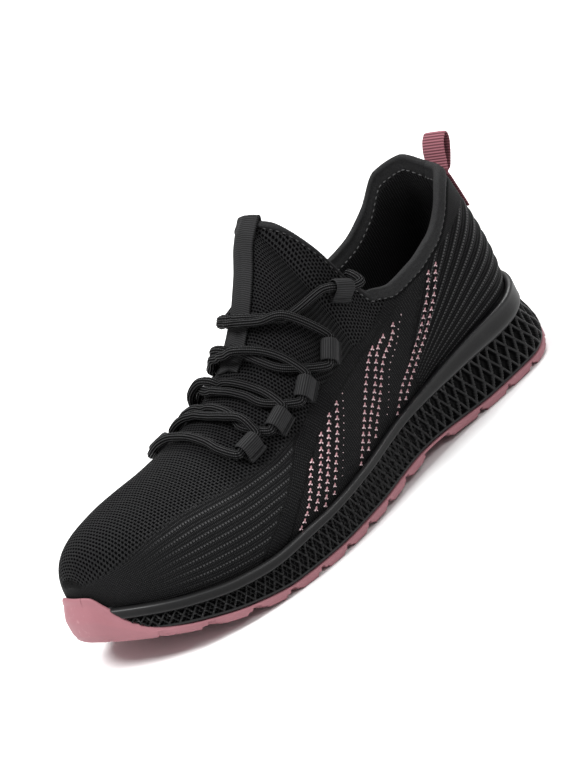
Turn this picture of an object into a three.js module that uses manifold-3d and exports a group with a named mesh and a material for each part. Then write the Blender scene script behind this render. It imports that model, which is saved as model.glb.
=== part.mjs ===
// A left safety sneaker: a knitted sock-shaped upper on a lattice-sided midsole with a rubber outsole.
// Sizes are in millimetres. +Z is up, the toe points to -Y and the outer side of the foot is at +X.
import * as THREE from "three";
import { mergeVertices } from "three/addons/utils/BufferGeometryUtils.js";
import Module from "manifold-3d";

const wasm = await Module();
wasm.setup();

// Driving sizes of the sole
const SOLE_LENGTH = 280;
const BALL_WIDTH = 104;
const HEEL_WIDTH = 72;
const HEEL_STACK = 33;
const FOREFOOT_STACK = 21;
const TOE_SPRING = 16.5;
const HEEL_BEVEL = 6;
const ARCH_RISE = 3.2;
const OUTSOLE_BASE = 2.2;
const LUG_DEPTH = 1.8;
const CUP_DEPTH_SHARE = 0.42;
const RIM_WALL = 2.6;
const HEEL_LEAN = 3.6;
const FOREFOOT_LEAN = 1.8;
const BAND_STEP = 0.9;
const HEEL_BAND = 10.5;
const WAIST_BAND = 3.2;
const TOE_BAND = 4.4;
const LATTICE_DEPTH = 2.2;
const LATTICE_CELLS = 40;
const LATTICE_ROWS = 2;
const BUMPER_TOP = 38;
const BUMPER_WALL = 2.6;

// Driving sizes of the upper
const COLLAR_HEIGHT = 103;
const COLLAR_WIDTH = 62;
const LATERAL_DIP = 6.5;
const TONGUE_TOP = 130.5;
const TOE_BOX_HEIGHT = 64;
const RIDGE_SHIFT = 8;
const UPPER_WALL = 2;
const COLLAR_PAD = 4;
const INSOLE_THICKNESS = 3.5;

// Driving sizes of the trims
const LACE_DIAMETER = 4;
const LOOP_WIDTH = 10;
const WEBBING = 1.1;
const LOOP_TAIL = 6.5;
const TAB_WIDTH = 14;
const TAB_AROUND = 0.15;
const PULL_WIDTH = 15;
const PULL_WEBBING = 1.6;
const PULL_RISE = 19;
const PULL_TAIL = 22;
const PULL_LEAN = 0.55;

// Clearances and mesh steps
const GAP = 0.3;
const UPPER_COLUMNS = 28;
const UPPER_ROWS = 11;
const OUTLINE_SAMPLES = 300;

// Plan outline of the sole, clockwise from the back of the heel by the outer side to the toe and back.
// along is a share of SOLE_LENGTH, heel and ball are shares of half HEEL_WIDTH and half BALL_WIDTH.
const OUTLINE = [
  { along: 0.0, heel: 0.0, ball: 0.0 },
  { along: 0.021, heel: 0.56, ball: 0.0 },
  { along: 0.079, heel: 0.92, ball: 0.0 },
  { along: 0.18, heel: 1.03, ball: 0.0 },
  { along: 0.3, heel: 0.7, ball: 0.25 },
  { along: 0.43, heel: 0.4, ball: 0.53 },
  { along: 0.55, heel: 0.1, ball: 0.875 },
  { along: 0.667, heel: 0.0, ball: 1.01 },
  { along: 0.775, heel: 0.0, ball: 0.95 },
  { along: 0.875, heel: 0.0, ball: 0.75 },
  { along: 0.953, heel: 0.0, ball: 0.4 },
  { along: 1.0, heel: 0.0, ball: -0.2 },
  { along: 0.986, heel: 0.0, ball: -0.6 },
  { along: 0.92, heel: 0.0, ball: -0.87 },
  { along: 0.82, heel: 0.0, ball: -0.96 },
  { along: 0.715, heel: 0.0, ball: -0.99 },
  { along: 0.59, heel: -0.1, ball: -0.81 },
  { along: 0.446, heel: -0.45, ball: -0.41 },
  { along: 0.303, heel: -0.75, ball: -0.125 },
  { along: 0.171, heel: -0.97, ball: 0.0 },
  { along: 0.071, heel: -0.86, ball: 0.0 },
  { along: 0.021, heel: -0.53, ball: 0.0 },
];

// Side profile of the sole. bevel, arch and spring raise the ground line by shares of HEEL_BEVEL, ARCH_RISE
// and TOE_SPRING.
// heel and fore are shares of HEEL_STACK and FOREFOOT_STACK in the height of the rim above the floor.
const PROFILE = [
  { along: 0.0, bevel: 1.0, arch: 0.0, spring: 0.0, heel: 1.17, fore: 0.0 },
  { along: 0.05, bevel: 0.3, arch: 0.0, spring: 0.0, heel: 1.09, fore: 0.0 },
  { along: 0.1, bevel: 0.0, arch: 0.0, spring: 0.0, heel: 1.035, fore: 0.0 },
  { along: 0.22, bevel: 0.0, arch: 0.0, spring: 0.0, heel: 0.975, fore: 0.0 },
  { along: 0.4, bevel: 0.0, arch: 1.0, spring: 0.0, heel: 0.5, fore: 0.5 },
  { along: 0.55, bevel: 0.0, arch: 0.35, spring: 0.0, heel: 0.12, fore: 0.89 },
  { along: 0.68, bevel: 0.0, arch: 0.0, spring: 0.0, heel: 0.0, fore: 0.975 },
  { along: 0.76, bevel: 0.0, arch: 0.0, spring: 0.0, heel: 0.0, fore: 0.915 },
  { along: 0.84, bevel: 0.0, arch: 0.0, spring: 0.17, heel: 0.0, fore: 0.835 },
  { along: 0.91, bevel: 0.0, arch: 0.0, spring: 0.47, heel: 0.0, fore: 0.775 },
  { along: 0.96, bevel: 0.0, arch: 0.0, spring: 0.75, heel: 0.0, fore: 0.74 },
  { along: 1.0, bevel: 0.0, arch: 0.0, spring: 1.0, heel: 0.0, fore: 0.7 },
];

// Height of the smooth band under the rim, as shares of the three named band heights.
const BAND = [
  { along: 0.0, heel: 1.0, waist: 0.0, toe: 0.0 },
  { along: 0.12, heel: 1.0, waist: 0.0, toe: 0.0 },
  { along: 0.25, heel: 0.7, waist: 0.2, toe: 0.0 },
  { along: 0.42, heel: 0.1, waist: 0.85, toe: 0.0 },
  { along: 0.6, heel: 0.0, waist: 1.0, toe: 0.0 },
  { along: 0.85, heel: 0.0, waist: 0.0, toe: 1.0 },
  { along: 1.0, heel: 0.0, waist: 0.0, toe: 1.0 },
];

// One row for each section of the upper, from the back of the heel round either side to the toe.
// around is the share of the half outline. across is a share of half COLLAR_WIDTH, shift of RIDGE_SHIFT,
// along of SOLE_LENGTH. collar, tongue and toe are shares of the three named heights, dip of LATERAL_DIP.
// rise, bulge, reach and drop shape the wall between the rim of the sole and the top line.
const SECTIONS = [
  {
    around: 0.0, across: 0.0, shift: -0.5, along: 0.034, collar: 0.965, tongue: 0.0, toe: 0.0,
    dip: 0.0, rise: 0.34, bulge: 4.8, reach: 0.38, drop: 0.22, pad: 1.0,
  },
  {
    around: 0.05, across: 0.38, shift: -0.45, along: 0.051, collar: 1.035, tongue: 0.0, toe: 0.0,
    dip: 1.15, rise: 0.34, bulge: 4.6, reach: 0.36, drop: 0.22, pad: 1.0,
  },
  {
    around: 0.1, across: 0.68, shift: -0.3, along: 0.085, collar: 1.01, tongue: 0.0, toe: 0.0,
    dip: 1.15, rise: 0.35, bulge: 4.2, reach: 0.24, drop: 0.28, pad: 1.0,
  },
  {
    around: 0.15, across: 0.87, shift: -0.15, along: 0.127, collar: 0.88, tongue: 0.0, toe: 0.0,
    dip: 0.4, rise: 0.37, bulge: 3.4, reach: 0.18, drop: 0.32, pad: 1.0,
  },
  {
    around: 0.2, across: 0.97, shift: -0.05, along: 0.18, collar: 0.795, tongue: 0.0, toe: 0.0,
    dip: 0.3, rise: 0.4, bulge: 2.5, reach: 0.1, drop: 0.35, pad: 1.0,
  },
  {
    around: 0.25, across: 1.0, shift: 0.0, along: 0.235, collar: 0.77, tongue: 0.0, toe: 0.0,
    dip: 0.53, rise: 0.4, bulge: 2.0, reach: 0.1, drop: 0.35, pad: 1.0,
  },
  {
    around: 0.3, across: 0.97, shift: 0.0, along: 0.292, collar: 0.768, tongue: 0.0, toe: 0.0,
    dip: 0.76, rise: 0.4, bulge: 2.0, reach: 0.1, drop: 0.35, pad: 0.8,
  },
  {
    around: 0.335, across: 0.91, shift: 0.0, along: 0.331, collar: 0.795, tongue: 0.0, toe: 0.0,
    dip: 0.64, rise: 0.4, bulge: 2.0, reach: 0.12, drop: 0.33, pad: 0.4,
  },
  {
    around: 0.36, across: 0.86, shift: 0.0, along: 0.352, collar: 0.62, tongue: 0.2, toe: 0.0,
    dip: 0.4, rise: 0.4, bulge: 2.0, reach: 0.2, drop: 0.3, pad: 0.2,
  },
  {
    around: 0.385, across: 0.73, shift: 0.0, along: 0.376, collar: 0.3, tongue: 0.598, toe: 0.0,
    dip: 0.0, rise: 0.4, bulge: 2.0, reach: 0.3, drop: 0.25, pad: 0.1,
  },
  {
    around: 0.41, across: 0.45, shift: 0.05, along: 0.402, collar: 0.1, tongue: 0.888, toe: 0.0,
    dip: 0.0, rise: 0.38, bulge: 2.0, reach: 0.42, drop: 0.18, pad: 0.0,
  },
  {
    around: 0.435, across: 0.0, shift: 0.1, along: 0.417, collar: 0.0, tongue: 1.0, toe: 0.0,
    dip: 0.0, rise: 0.36, bulge: 2.0, reach: 0.5, drop: 0.1, pad: 0.0,
  },
  {
    around: 0.48, across: 0.0, shift: 0.2, along: 0.456, collar: 0.0, tongue: 0.765, toe: 0.208,
    dip: 0.0, rise: 0.36, bulge: 2.0, reach: 0.5, drop: 0.05, pad: 0.0,
  },
  {
    around: 0.53, across: 0.0, shift: 0.35, along: 0.504, collar: 0.0, tongue: 0.44, toe: 0.57,
    dip: 0.0, rise: 0.38, bulge: 2.0, reach: 0.5, drop: 0.03, pad: 0.0,
  },
  {
    around: 0.58, across: 0.0, shift: 0.5, along: 0.555, collar: 0.0, tongue: 0.22, toe: 0.796,
    dip: 0.0, rise: 0.42, bulge: 2.0, reach: 0.5, drop: 0.02, pad: 0.0,
  },
  {
    around: 0.63, across: 0.0, shift: 0.65, along: 0.608, collar: 0.0, tongue: 0.1, toe: 0.916,
    dip: 0.0, rise: 0.46, bulge: 2.0, reach: 0.5, drop: 0.0, pad: 0.0,
  },
  {
    around: 0.68, across: 0.0, shift: 0.75, along: 0.663, collar: 0.0, tongue: 0.035, toe: 0.988,
    dip: 0.0, rise: 0.5, bulge: 2.0, reach: 0.52, drop: 0.0, pad: 0.0,
  },
  {
    around: 0.73, across: 0.0, shift: 0.85, along: 0.718, collar: 0.0, tongue: 0.012, toe: 1.0,
    dip: 0.0, rise: 0.54, bulge: 2.2, reach: 0.54, drop: 0.0, pad: 0.0,
  },
  {
    around: 0.78, across: 0.0, shift: 0.92, along: 0.768, collar: 0.0, tongue: 0.0, toe: 1.01,
    dip: 0.0, rise: 0.6, bulge: 2.4, reach: 0.56, drop: 0.0, pad: 0.0,
  },
  {
    around: 0.83, across: 0.0, shift: 0.97, along: 0.808, collar: 0.0, tongue: 0.0, toe: 1.004,
    dip: 0.0, rise: 0.66, bulge: 2.6, reach: 0.58, drop: 0.0, pad: 0.0,
  },
  {
    around: 0.88, across: 0.0, shift: 1.0, along: 0.838, collar: 0.0, tongue: 0.0, toe: 0.989,
    dip: 0.0, rise: 0.7, bulge: 3.0, reach: 0.6, drop: 0.0, pad: 0.0,
  },
  {
    around: 0.94, across: 0.0, shift: 1.0, along: 0.86, collar: 0.0, tongue: 0.0, toe: 0.977,
    dip: 0.0, rise: 0.74, bulge: 3.6, reach: 0.62, drop: 0.0, pad: 0.0,
  },
  {
    around: 1.0, across: 0.0, shift: 1.0, along: 0.87, collar: 0.0, tongue: 0.0, toe: 0.97,
    dip: 0.0, rise: 0.74, bulge: 4.0, reach: 0.62, drop: 0.0, pad: 0.0,
  },
];
const TONGUE_AROUND = 0.435;
const NOTCH_AROUND = 0.353;

// Height of the toe bumper's edge on each side, as a share of its way up from the outsole strip to
// BUMPER_TOP.
const BUMPER = [
  { around: 0.85, outer: 0.0, inner: 0.0 },
  { around: 0.88, outer: 0.02, inner: 0.12 },
  { around: 0.91, outer: 0.08, inner: 0.5 },
  { around: 0.935, outer: 0.22, inner: 0.85 },
  { around: 0.965, outer: 0.66, inner: 1.0 },
  { around: 0.985, outer: 0.96, inner: 1.0 },
  { around: 1.0, outer: 1.0, inner: 1.0 },
];

// The bumper's outer face from bottom to top: up is a share of its height, out is its offset in shares of
// BUMPER_WALL.
const BUMPER_FACE = [
  { up: 0.0, out: 0.1 },
  { up: 0.14, out: 0.36 },
  { up: 0.42, out: 0.4 },
  { up: 0.66, out: -0.1 },
  { up: 0.86, out: -0.75 },
  { up: 1.0, out: -1.05 },
];

// Grooves across the tread. along and wide are shares of SOLE_LENGTH, vee is how far its middle points
// forward.
const GROOVES = [
  { along: 0.055, wide: 0.008, vee: -0.02 },
  { along: 0.125, wide: 0.008, vee: -0.02 },
  { along: 0.195, wide: 0.008, vee: -0.02 },
  { along: 0.27, wide: 0.01, vee: -0.02 },
  { along: 0.375, wide: 0.07, vee: 0.01 },
  { along: 0.46, wide: 0.014, vee: 0.03 },
  { along: 0.525, wide: 0.01, vee: 0.03 },
  { along: 0.585, wide: 0.01, vee: 0.03 },
  { along: 0.645, wide: 0.01, vee: 0.03 },
  { along: 0.705, wide: 0.01, vee: 0.03 },
  { along: 0.765, wide: 0.012, vee: 0.03 },
  { along: 0.825, wide: 0.014, vee: 0.03 },
  { along: 0.885, wide: 0.01, vee: 0.03 },
  { along: 0.94, wide: 0.008, vee: 0.02 },
];

// Webbing loops that carry the lace, from the ankle to the toe, as places on the upper's sections.
// turn is the angle in radians by which a loop's bore turns from the ankle's direction towards the ridge.
const LACE_LOOPS = [
  { around: 0.392, up: 0.645, turn: 0.6 },
  { around: 0.468, up: 0.4, turn: 0.2 },
  { around: 0.537, up: 0.47, turn: 0.1 },
  { around: 0.6, up: 0.525, turn: 0.05 },
  { around: 0.66, up: 0.56, turn: 0.0 },
];

// Crossings of the lace. ridge is the section over whose ridge the row passes, cross is how far from the outer
// side towards the inner side its two cords change places. reach is where the cord from a far upper loop touches the
// upper on its way to the row.
const LACE_ROWS = [
  { upper: 0, lower: 1, ridge: 0.532, cross: 0.12, reach: 0.45 },
  { upper: 1, lower: 2, ridge: 0.57, cross: 0.34, reach: 0 },
  { upper: 2, lower: 3, ridge: 0.618, cross: 0.7, reach: 0 },
  { upper: 3, lower: 4, ridge: 0.664, cross: 0.14, reach: 0 },
];
const LACE_BAR_RIDGE = 0.715;

// Smooth value of one column of a table: a cubic through the rows that never overshoots them.
function smooth(table, by, key, at) {
  const last = table.length - 1;
  if (at <= table[0][by]) return table[0][key];
  if (at >= table[last][by]) return table[last][key];
  let i = 0;
  while (at > table[i + 1][by]) i += 1;
  const secant = (k) => (table[k + 1][key] - table[k][key]) / (table[k + 1][by] - table[k][by]);
  const tangent = (k) => {
    if (k === 0) return secant(0);
    if (k === last) return secant(last - 1);
    const before = secant(k - 1);
    const after = secant(k);
    return before * after <= 0 ? 0 : (2 * before * after) / (before + after);
  };
  const span = table[i + 1][by] - table[i][by];
  const s = (at - table[i][by]) / span;
  const start = table[i][key];
  const end = table[i + 1][key];
  const rise = end - start;
  const m0 = tangent(i) * span;
  const m1 = tangent(i + 1) * span;
  return start + s * (m0 + s * (3 * rise - 2 * m0 - m1 + s * (m0 + m1 - 2 * rise)));
}

const ease = (from, to, at) => THREE.MathUtils.smoothstep(at, from, to);
const mix = THREE.MathUtils.lerp;

// Half outlines of the sole, heel to toe, as points with their running length.
const OUTLINE_CURVE = new THREE.CatmullRomCurve3(
  OUTLINE.map(
    (row) =>
      new THREE.Vector3(
        (row.heel * HEEL_WIDTH + row.ball * BALL_WIDTH) / 2,
        (0.5 - row.along) * SOLE_LENGTH,
        0,
      ),
  ),
  true,
  "catmullrom",
);

function halfOutline(side) {
  const points = [];
  for (let i = 0; i <= OUTLINE_SAMPLES; i += 1) {
    const half = (0.5 * i) / OUTLINE_SAMPLES;
    points.push(OUTLINE_CURVE.getPoint(side > 0 ? half : 1 - half));
  }
  const run = [0];
  for (let i = 1; i < points.length; i += 1) run.push(run[i - 1] + points[i].distanceTo(points[i - 1]));
  return { points, run };
}
const HALVES = { 1: halfOutline(1), [-1]: halfOutline(-1) };

// Point of the sole's outline at a share of its half, and the level direction that points outwards there.
function outlineAt(side, around) {
  const { points, run } = HALVES[side];
  const goal = THREE.MathUtils.clamp(around, 0, 1) * run[run.length - 1];
  let i = 0;
  while (i < run.length - 2 && run[i + 1] < goal) i += 1;
  const s = (goal - run[i]) / (run[i + 1] - run[i]);
  const point = points[i].clone().lerp(points[i + 1], s);
  const before = points[Math.max(i - 1, 0)];
  const after = points[Math.min(i + 2, points.length - 1)];
  const tangent = after.clone().sub(before);
  const out = new THREE.Vector3(-tangent.y, tangent.x, 0).multiplyScalar(side).normalize();
  if (around <= 0) out.set(0, 1, 0);
  if (around >= 1) out.set(0, -1, 0);
  return { point, out };
}

const alongOf = (y) => 0.5 - y / SOLE_LENGTH;
const groundAt = (along) =>
  smooth(PROFILE, "along", "bevel", along) * HEEL_BEVEL +
  smooth(PROFILE, "along", "arch", along) * ARCH_RISE +
  smooth(PROFILE, "along", "spring", along) * TOE_SPRING;
const rimAt = (along) =>
  smooth(PROFILE, "along", "heel", along) * HEEL_STACK +
  smooth(PROFILE, "along", "fore", along) * FOREFOOT_STACK +
  smooth(PROFILE, "along", "spring", along) * TOE_SPRING;
const bandAt = (along) =>
  smooth(BAND, "along", "heel", along) * HEEL_BAND +
  smooth(BAND, "along", "waist", along) * WAIST_BAND +
  smooth(BAND, "along", "toe", along) * TOE_BAND;
const footbedAt = (along) => mix(rimAt(along), groundAt(along), CUP_DEPTH_SHARE);
const leanAt = (along) => mix(HEEL_LEAN, FOREFOOT_LEAN, ease(0.15, 0.6, along));

// A closed ring of points, one for each column on both sides, from a function of side and share around.
function ring(columns, pointAt, share = (s) => s) {
  const points = [];
  for (let i = 0; i < columns; i += 1) points.push(pointAt(1, share(i / columns)));
  for (let i = columns; i > 0; i -= 1) points.push(pointAt(-1, share(i / columns)));
  return points;
}

// Triangles between two rings of equal count.
function wallBetween(faces, lower, upper, flip = false) {
  const n = lower.length;
  for (let i = 0; i < n; i += 1) {
    const k = (i + 1) % n;
    const quad = [lower[i], upper[i], upper[k], lower[k]];
    addQuad(faces, flip ? quad.reverse() : quad);
  }
}

function addQuad(faces, [a, b, c, d]) {
  faces.push([a, b, c], [a, c, d]);
}

// A cap made of strips from side to side of a ring.
function capAcross(faces, points, flip = false) {
  const n = points.length;
  for (let i = 0; i < n / 2; i += 1) {
    const quad = [points[i], points[(n - i) % n], points[n - i - 1], points[i + 1]];
    addQuad(faces, flip ? quad.reverse() : quad);
  }
}

// A manifold-3d solid from triangles of points. Triangles with two equal corners are dropped.
function solidFrom(faces) {
  const position = [];
  for (const face of faces) for (const p of face) position.push(p.x, p.y, p.z);
  const soup = new THREE.BufferGeometry();
  soup.setAttribute("position", new THREE.Float32BufferAttribute(position, 3));
  return solidOfGeometry(soup);
}

function solidOfGeometry(geometry) {
  const bare = geometry.index ? geometry.toNonIndexed() : geometry.clone();
  bare.deleteAttribute("normal");
  bare.deleteAttribute("uv");
  const merged = mergeVertices(bare, 1e-3);
  const index = merged.index.array;
  const kept = [];
  for (let i = 0; i < index.length; i += 3) {
    const [a, b, c] = [index[i], index[i + 1], index[i + 2]];
    if (a !== b && b !== c && c !== a) kept.push(a, b, c);
  }
  const mesh = new wasm.Mesh({
    numProp: 3,
    vertProperties: merged.attributes.position.array,
    triVerts: new Uint32Array(kept),
  });
  return new wasm.Manifold(mesh);
}

function geometryOf(solid) {
  const mesh = solid.getMesh();
  const position = new Float32Array(mesh.numVert * 3);
  for (let i = 0; i < mesh.numVert; i += 1) {
    position.set(mesh.vertProperties.subarray(i * mesh.numProp, i * mesh.numProp + 3), i * 3);
  }
  const geometry = new THREE.BufferGeometry();
  geometry.setAttribute("position", new THREE.BufferAttribute(position, 3));
  geometry.setIndex(new THREE.BufferAttribute(new Uint32Array(mesh.triVerts), 1));
  geometry.computeVertexNormals();
  return geometry;
}

// A solid closed by a bottom cap, walls through a stack of rings, and a top cap.
function stack(rings) {
  const faces = [];
  capAcross(faces, rings[0], true);
  for (let j = 0; j + 1 < rings.length; j += 1) wallBetween(faces, rings[j], rings[j + 1]);
  capAcross(faces, rings[rings.length - 1]);
  return solidFrom(faces);
}

// Level of a point on the sole's outline moved outwards, at a height that depends on its share along.
function soleRing(columns, outAt, heightAt, share) {
  return ring(
    columns,
    (side, around) => {
      const { point, out } = outlineAt(side, around);
      const along = alongOf(point.y);
      const moved = point.clone().addScaledVector(out, outAt(along, around));
      moved.z = heightAt(along, around);
      return moved;
    },
    share,
  );
}

// Lower corner of the upper's wall at the rim of the sole, and the top of the section there.
function sectionAt(side, around) {
  const row = (key) => smooth(SECTIONS, "around", key, around);
  const { point, out } = outlineAt(side, around);
  const along = alongOf(point.y);
  const inset = leanAt(along) + RIM_WALL + GAP;
  const foot = point.clone().addScaledVector(out, -inset);
  foot.z = rimAt(along);
  const top = new THREE.Vector3(
    (side * row("across") * COLLAR_WIDTH) / 2 - row("shift") * RIDGE_SHIFT,
    (0.5 - row("along")) * SOLE_LENGTH,
    row("collar") * COLLAR_HEIGHT + row("tongue") * TONGUE_TOP + row("toe") * TOE_BOX_HEIGHT,
  );
  if (side > 0) top.z -= row("dip") * LATERAL_DIP;
  const height = top.z - foot.z;
  const low = foot.clone().addScaledVector(out, row("bulge"));
  low.z += row("rise") * height;
  const high = top.clone();
  high.x += row("reach") * (foot.x - top.x);
  high.y += row("reach") * (foot.y - top.y);
  high.z -= row("drop") * height;
  return { foot, low, high, top, along };
}

// Point of the upper's outer face: up is 0 at the rim of the sole and 1 at the top line.
function upperAt(side, around, up) {
  const { foot, low, high, top } = sectionAt(side, around);
  return new THREE.CubicBezierCurve3(foot, low, high, top).getPoint(up);
}

function upperNormal(side, around, up) {
  const step = 0.004;
  const a = THREE.MathUtils.clamp(around, step, 1 - step);
  const u = THREE.MathUtils.clamp(up, step, 1 - step);
  const round = upperAt(side, a + step, u).sub(upperAt(side, a - step, u));
  const rise = upperAt(side, a, u + step).sub(upperAt(side, a, u - step));
  return rise.cross(round).multiplyScalar(side).normalize();
}

// Shares around for the upper's columns, closer together at the tongue's edge and the toe.
const SPREAD = [
  { step: 0.0, around: 0.0 },
  { step: 0.35, around: 0.335 },
  { step: 0.5, around: TONGUE_AROUND },
  { step: 1.0, around: 1.0 },
];
const upperShare = (s) => smooth(SPREAD, "step", "around", s);
const TONGUE_COLUMN = UPPER_COLUMNS / 2;

// Rings of the upper's outer face, from its lasting edge at the footbed to the top line.
function upperRings(grow, bottom, highest) {
  const rings = [];
  const share = (s) => (s === 0.5 ? TONGUE_AROUND : upperShare(s));
  const foot = (side, around) => {
    const point = upperAt(side, around, 0);
    return point.addScaledVector(outlineAt(side, around).out, grow);
  };
  rings.push(
    ring(
      UPPER_COLUMNS,
      (side, around) => {
        const point = foot(side, around);
        point.z = footbedAt(alongOf(point.y)) + bottom;
        return point;
      },
      share,
    ),
  );
  for (let j = 0; j <= highest; j += 1) {
    const up = (j / UPPER_ROWS) ** 1.15;
    rings.push(
      ring(
        UPPER_COLUMNS,
        (side, around) => {
          if (j === 0) return foot(side, around);
          return upperAt(side, around, up).addScaledVector(upperNormal(side, around, up), grow);
        },
        share,
      ),
    );
  }
  return rings;
}

// The wall's thickness: plain knit, with a soft pad below the collar line.
function wallAt(around, up) {
  const pad = smooth(SECTIONS, "around", "pad", around) * COLLAR_PAD;
  return UPPER_WALL + pad * ease(0.35, 0.8, up) * (1 - 0.45 * ease(0.9, 1, up));
}

function makeUpper() {
  const outer = upperRings(0, GAP, UPPER_ROWS);
  const rows = outer.length;
  const count = outer[0].length;
  // Columns from the tongue's top to the toe end on the ridge, where both sides share their top points.
  const mirror = (i) => (count - i) % count;
  const onRidge = (i) => i >= TONGUE_COLUMN && i <= count - TONGUE_COLUMN;
  const top = outer[rows - 1];
  for (let i = UPPER_COLUMNS + 1; i < count; i += 1) if (onRidge(i)) top[i] = top[mirror(i)];

  // Normals of shared points are summed over the faces around them.
  const normals = new Map();
  const addNormal = (a, b, c) => {
    const normal = b.clone().sub(a).cross(c.clone().sub(a));
    for (const p of [a, b, c]) {
      if (!normals.has(p)) normals.set(p, new THREE.Vector3());
      normals.get(p).add(normal);
    }
  };
  const faces = [];
  for (let j = 0; j + 1 < rows; j += 1) wallBetween(faces, outer[j], outer[j + 1]);
  for (const face of faces) addNormal(...face);

  const inner = outer.map((points, j) =>
    points.map((p, i) => {
      const around = upperShareOf(i, count);
      const up = Math.max(0, (j - 1) / UPPER_ROWS) ** 1.15;
      const moved = p.clone().addScaledVector(normals.get(p).clone().normalize(), -wallAt(around, up));
      if (j === 0) moved.z = p.z;
      return moved;
    }),
  );
  const innerTop = inner[rows - 1];
  for (let i = UPPER_COLUMNS + 1; i < count; i += 1) if (onRidge(i)) innerTop[i] = innerTop[mirror(i)];
  for (let j = 0; j + 1 < rows; j += 1) wallBetween(faces, inner[j], inner[j + 1], true);
  wallBetween(faces, inner[0], outer[0]);

  // A rounded edge closes the collar and the tongue between the outer and inner faces.
  const crown = top.map((p, i) => {
    const middle = p.clone().lerp(innerTop[i], 0.5);
    const away = p.clone().sub(outer[rows - 2][i]).normalize();
    return middle.addScaledVector(away, 0.35 * p.distanceTo(innerTop[i]));
  });
  crown[count - TONGUE_COLUMN] = crown[TONGUE_COLUMN];
  for (let i = 0; i < count; i += 1) {
    const k = (i + 1) % count;
    if (onRidge(i) && onRidge(k)) continue;
    addQuad(faces, [top[i], crown[i], crown[k], top[k]]);
    addQuad(faces, [crown[i], innerTop[i], innerTop[k], crown[k]]);
  }
  return solidFrom(faces);
}

function upperShareOf(i, count) {
  const s = (i <= count / 2 ? i : count - i) / UPPER_COLUMNS;
  return s === 0.5 ? TONGUE_AROUND : upperShare(s);
}

// The solid form that the upper's lower wall fills, used to hollow what surrounds it.
const CLEARED_ROWS = 5;
const upperForm = () => stack(upperRings(GAP, 0, CLEARED_ROWS));

const stripTop = OUTSOLE_BASE + LUG_DEPTH;
const CUT_REACH = 6;

// The toe bumper, from its outer face to its wall's inside. For a cutter it is grown and reaches out further.
function bumperForm(grow, reach) {
  const first = BUMPER[0].around;
  const steps = 9;
  const columns = [];
  for (let i = -steps; i <= steps; i += 1) {
    columns.push({ side: i > 0 ? -1 : 1, around: 1 - ((1 - first) * Math.abs(i)) / steps });
  }
  const sections = columns.map(({ side, around }) => {
    const { point, out } = outlineAt(side, around);
    const along = alongOf(point.y);
    const bottom = groundAt(along) + LUG_DEPTH;
    const height = smooth(BUMPER, "around", side > 0 ? "outer" : "inner", around);
    const edge = mix(groundAt(along) + stripTop, BUMPER_TOP, height) + grow;
    const face = BUMPER_FACE.map(({ up, out: shift }) => ({
      z: mix(bottom, edge, up),
      shift: shift * BUMPER_WALL * height,
    }));
    const at = ({ z, shift }, extra) => point.clone().addScaledVector(out, shift + extra).setZ(z);
    const outer = face.map((row) => at(row, reach));
    const inner = face.map((row) => at(row, -BUMPER_WALL - grow)).reverse();
    return [...outer, ...inner];
  });
  const faces = [];
  for (let i = 0; i + 1 < sections.length; i += 1) wallBetween(faces, sections[i + 1], sections[i]);
  const cap = (loop, flip) => {
    const n = loop.length;
    for (let k = 0; k + 1 < n / 2; k += 1) {
      const quad = [loop[k], loop[k + 1], loop[n - 2 - k], loop[n - 1 - k]];
      addQuad(faces, flip ? quad.reverse() : quad);
    }
  };
  cap(sections[0], true);
  cap(sections[sections.length - 1], false);
  return solidFrom(faces);
}

// The space below the base of the outsole, from under the floor up to the root of the lugs.
function treadSpace(columns) {
  return stack([
    soleRing(columns, () => CUT_REACH, () => -CUT_REACH),
    soleRing(columns, () => CUT_REACH, (along) => groundAt(along) + LUG_DEPTH),
  ]);
}

function makeOutsole(form) {
  const columns = 40;
  const plate = stack([
    soleRing(columns, () => -0.8, groundAt),
    soleRing(columns, () => 0.2, (along) => groundAt(along) + 0.9),
    soleRing(columns, () => 0.2, (along) => groundAt(along) + stripTop - 0.5),
    soleRing(columns, () => -0.3, (along) => groundAt(along) + stripTop),
  ]);
  const cuts = GROOVES.map(({ along, wide, vee }) => {
    const reach = 0.7 * BALL_WIDTH;
    const y = (share) => (0.5 - share) * SOLE_LENGTH;
    const shape = new THREE.Shape([
      new THREE.Vector2(-reach, y(along - wide / 2)),
      new THREE.Vector2(0, y(along + vee - wide / 2)),
      new THREE.Vector2(reach, y(along - wide / 2)),
      new THREE.Vector2(reach, y(along + wide / 2)),
      new THREE.Vector2(0, y(along + vee + wide / 2)),
      new THREE.Vector2(-reach, y(along + wide / 2)),
    ]);
    const bar = new THREE.ExtrudeGeometry(shape, { depth: 2 * HEEL_STACK, bevelEnabled: false });
    return solidOfGeometry(bar.translate(0, 0, -HEEL_STACK / 2));
  });
  const grooves = wasm.Manifold.union(cuts).intersect(treadSpace(columns));
  return plate.subtract(grooves).add(bumperForm(0, 0)).subtract(form);
}

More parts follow.
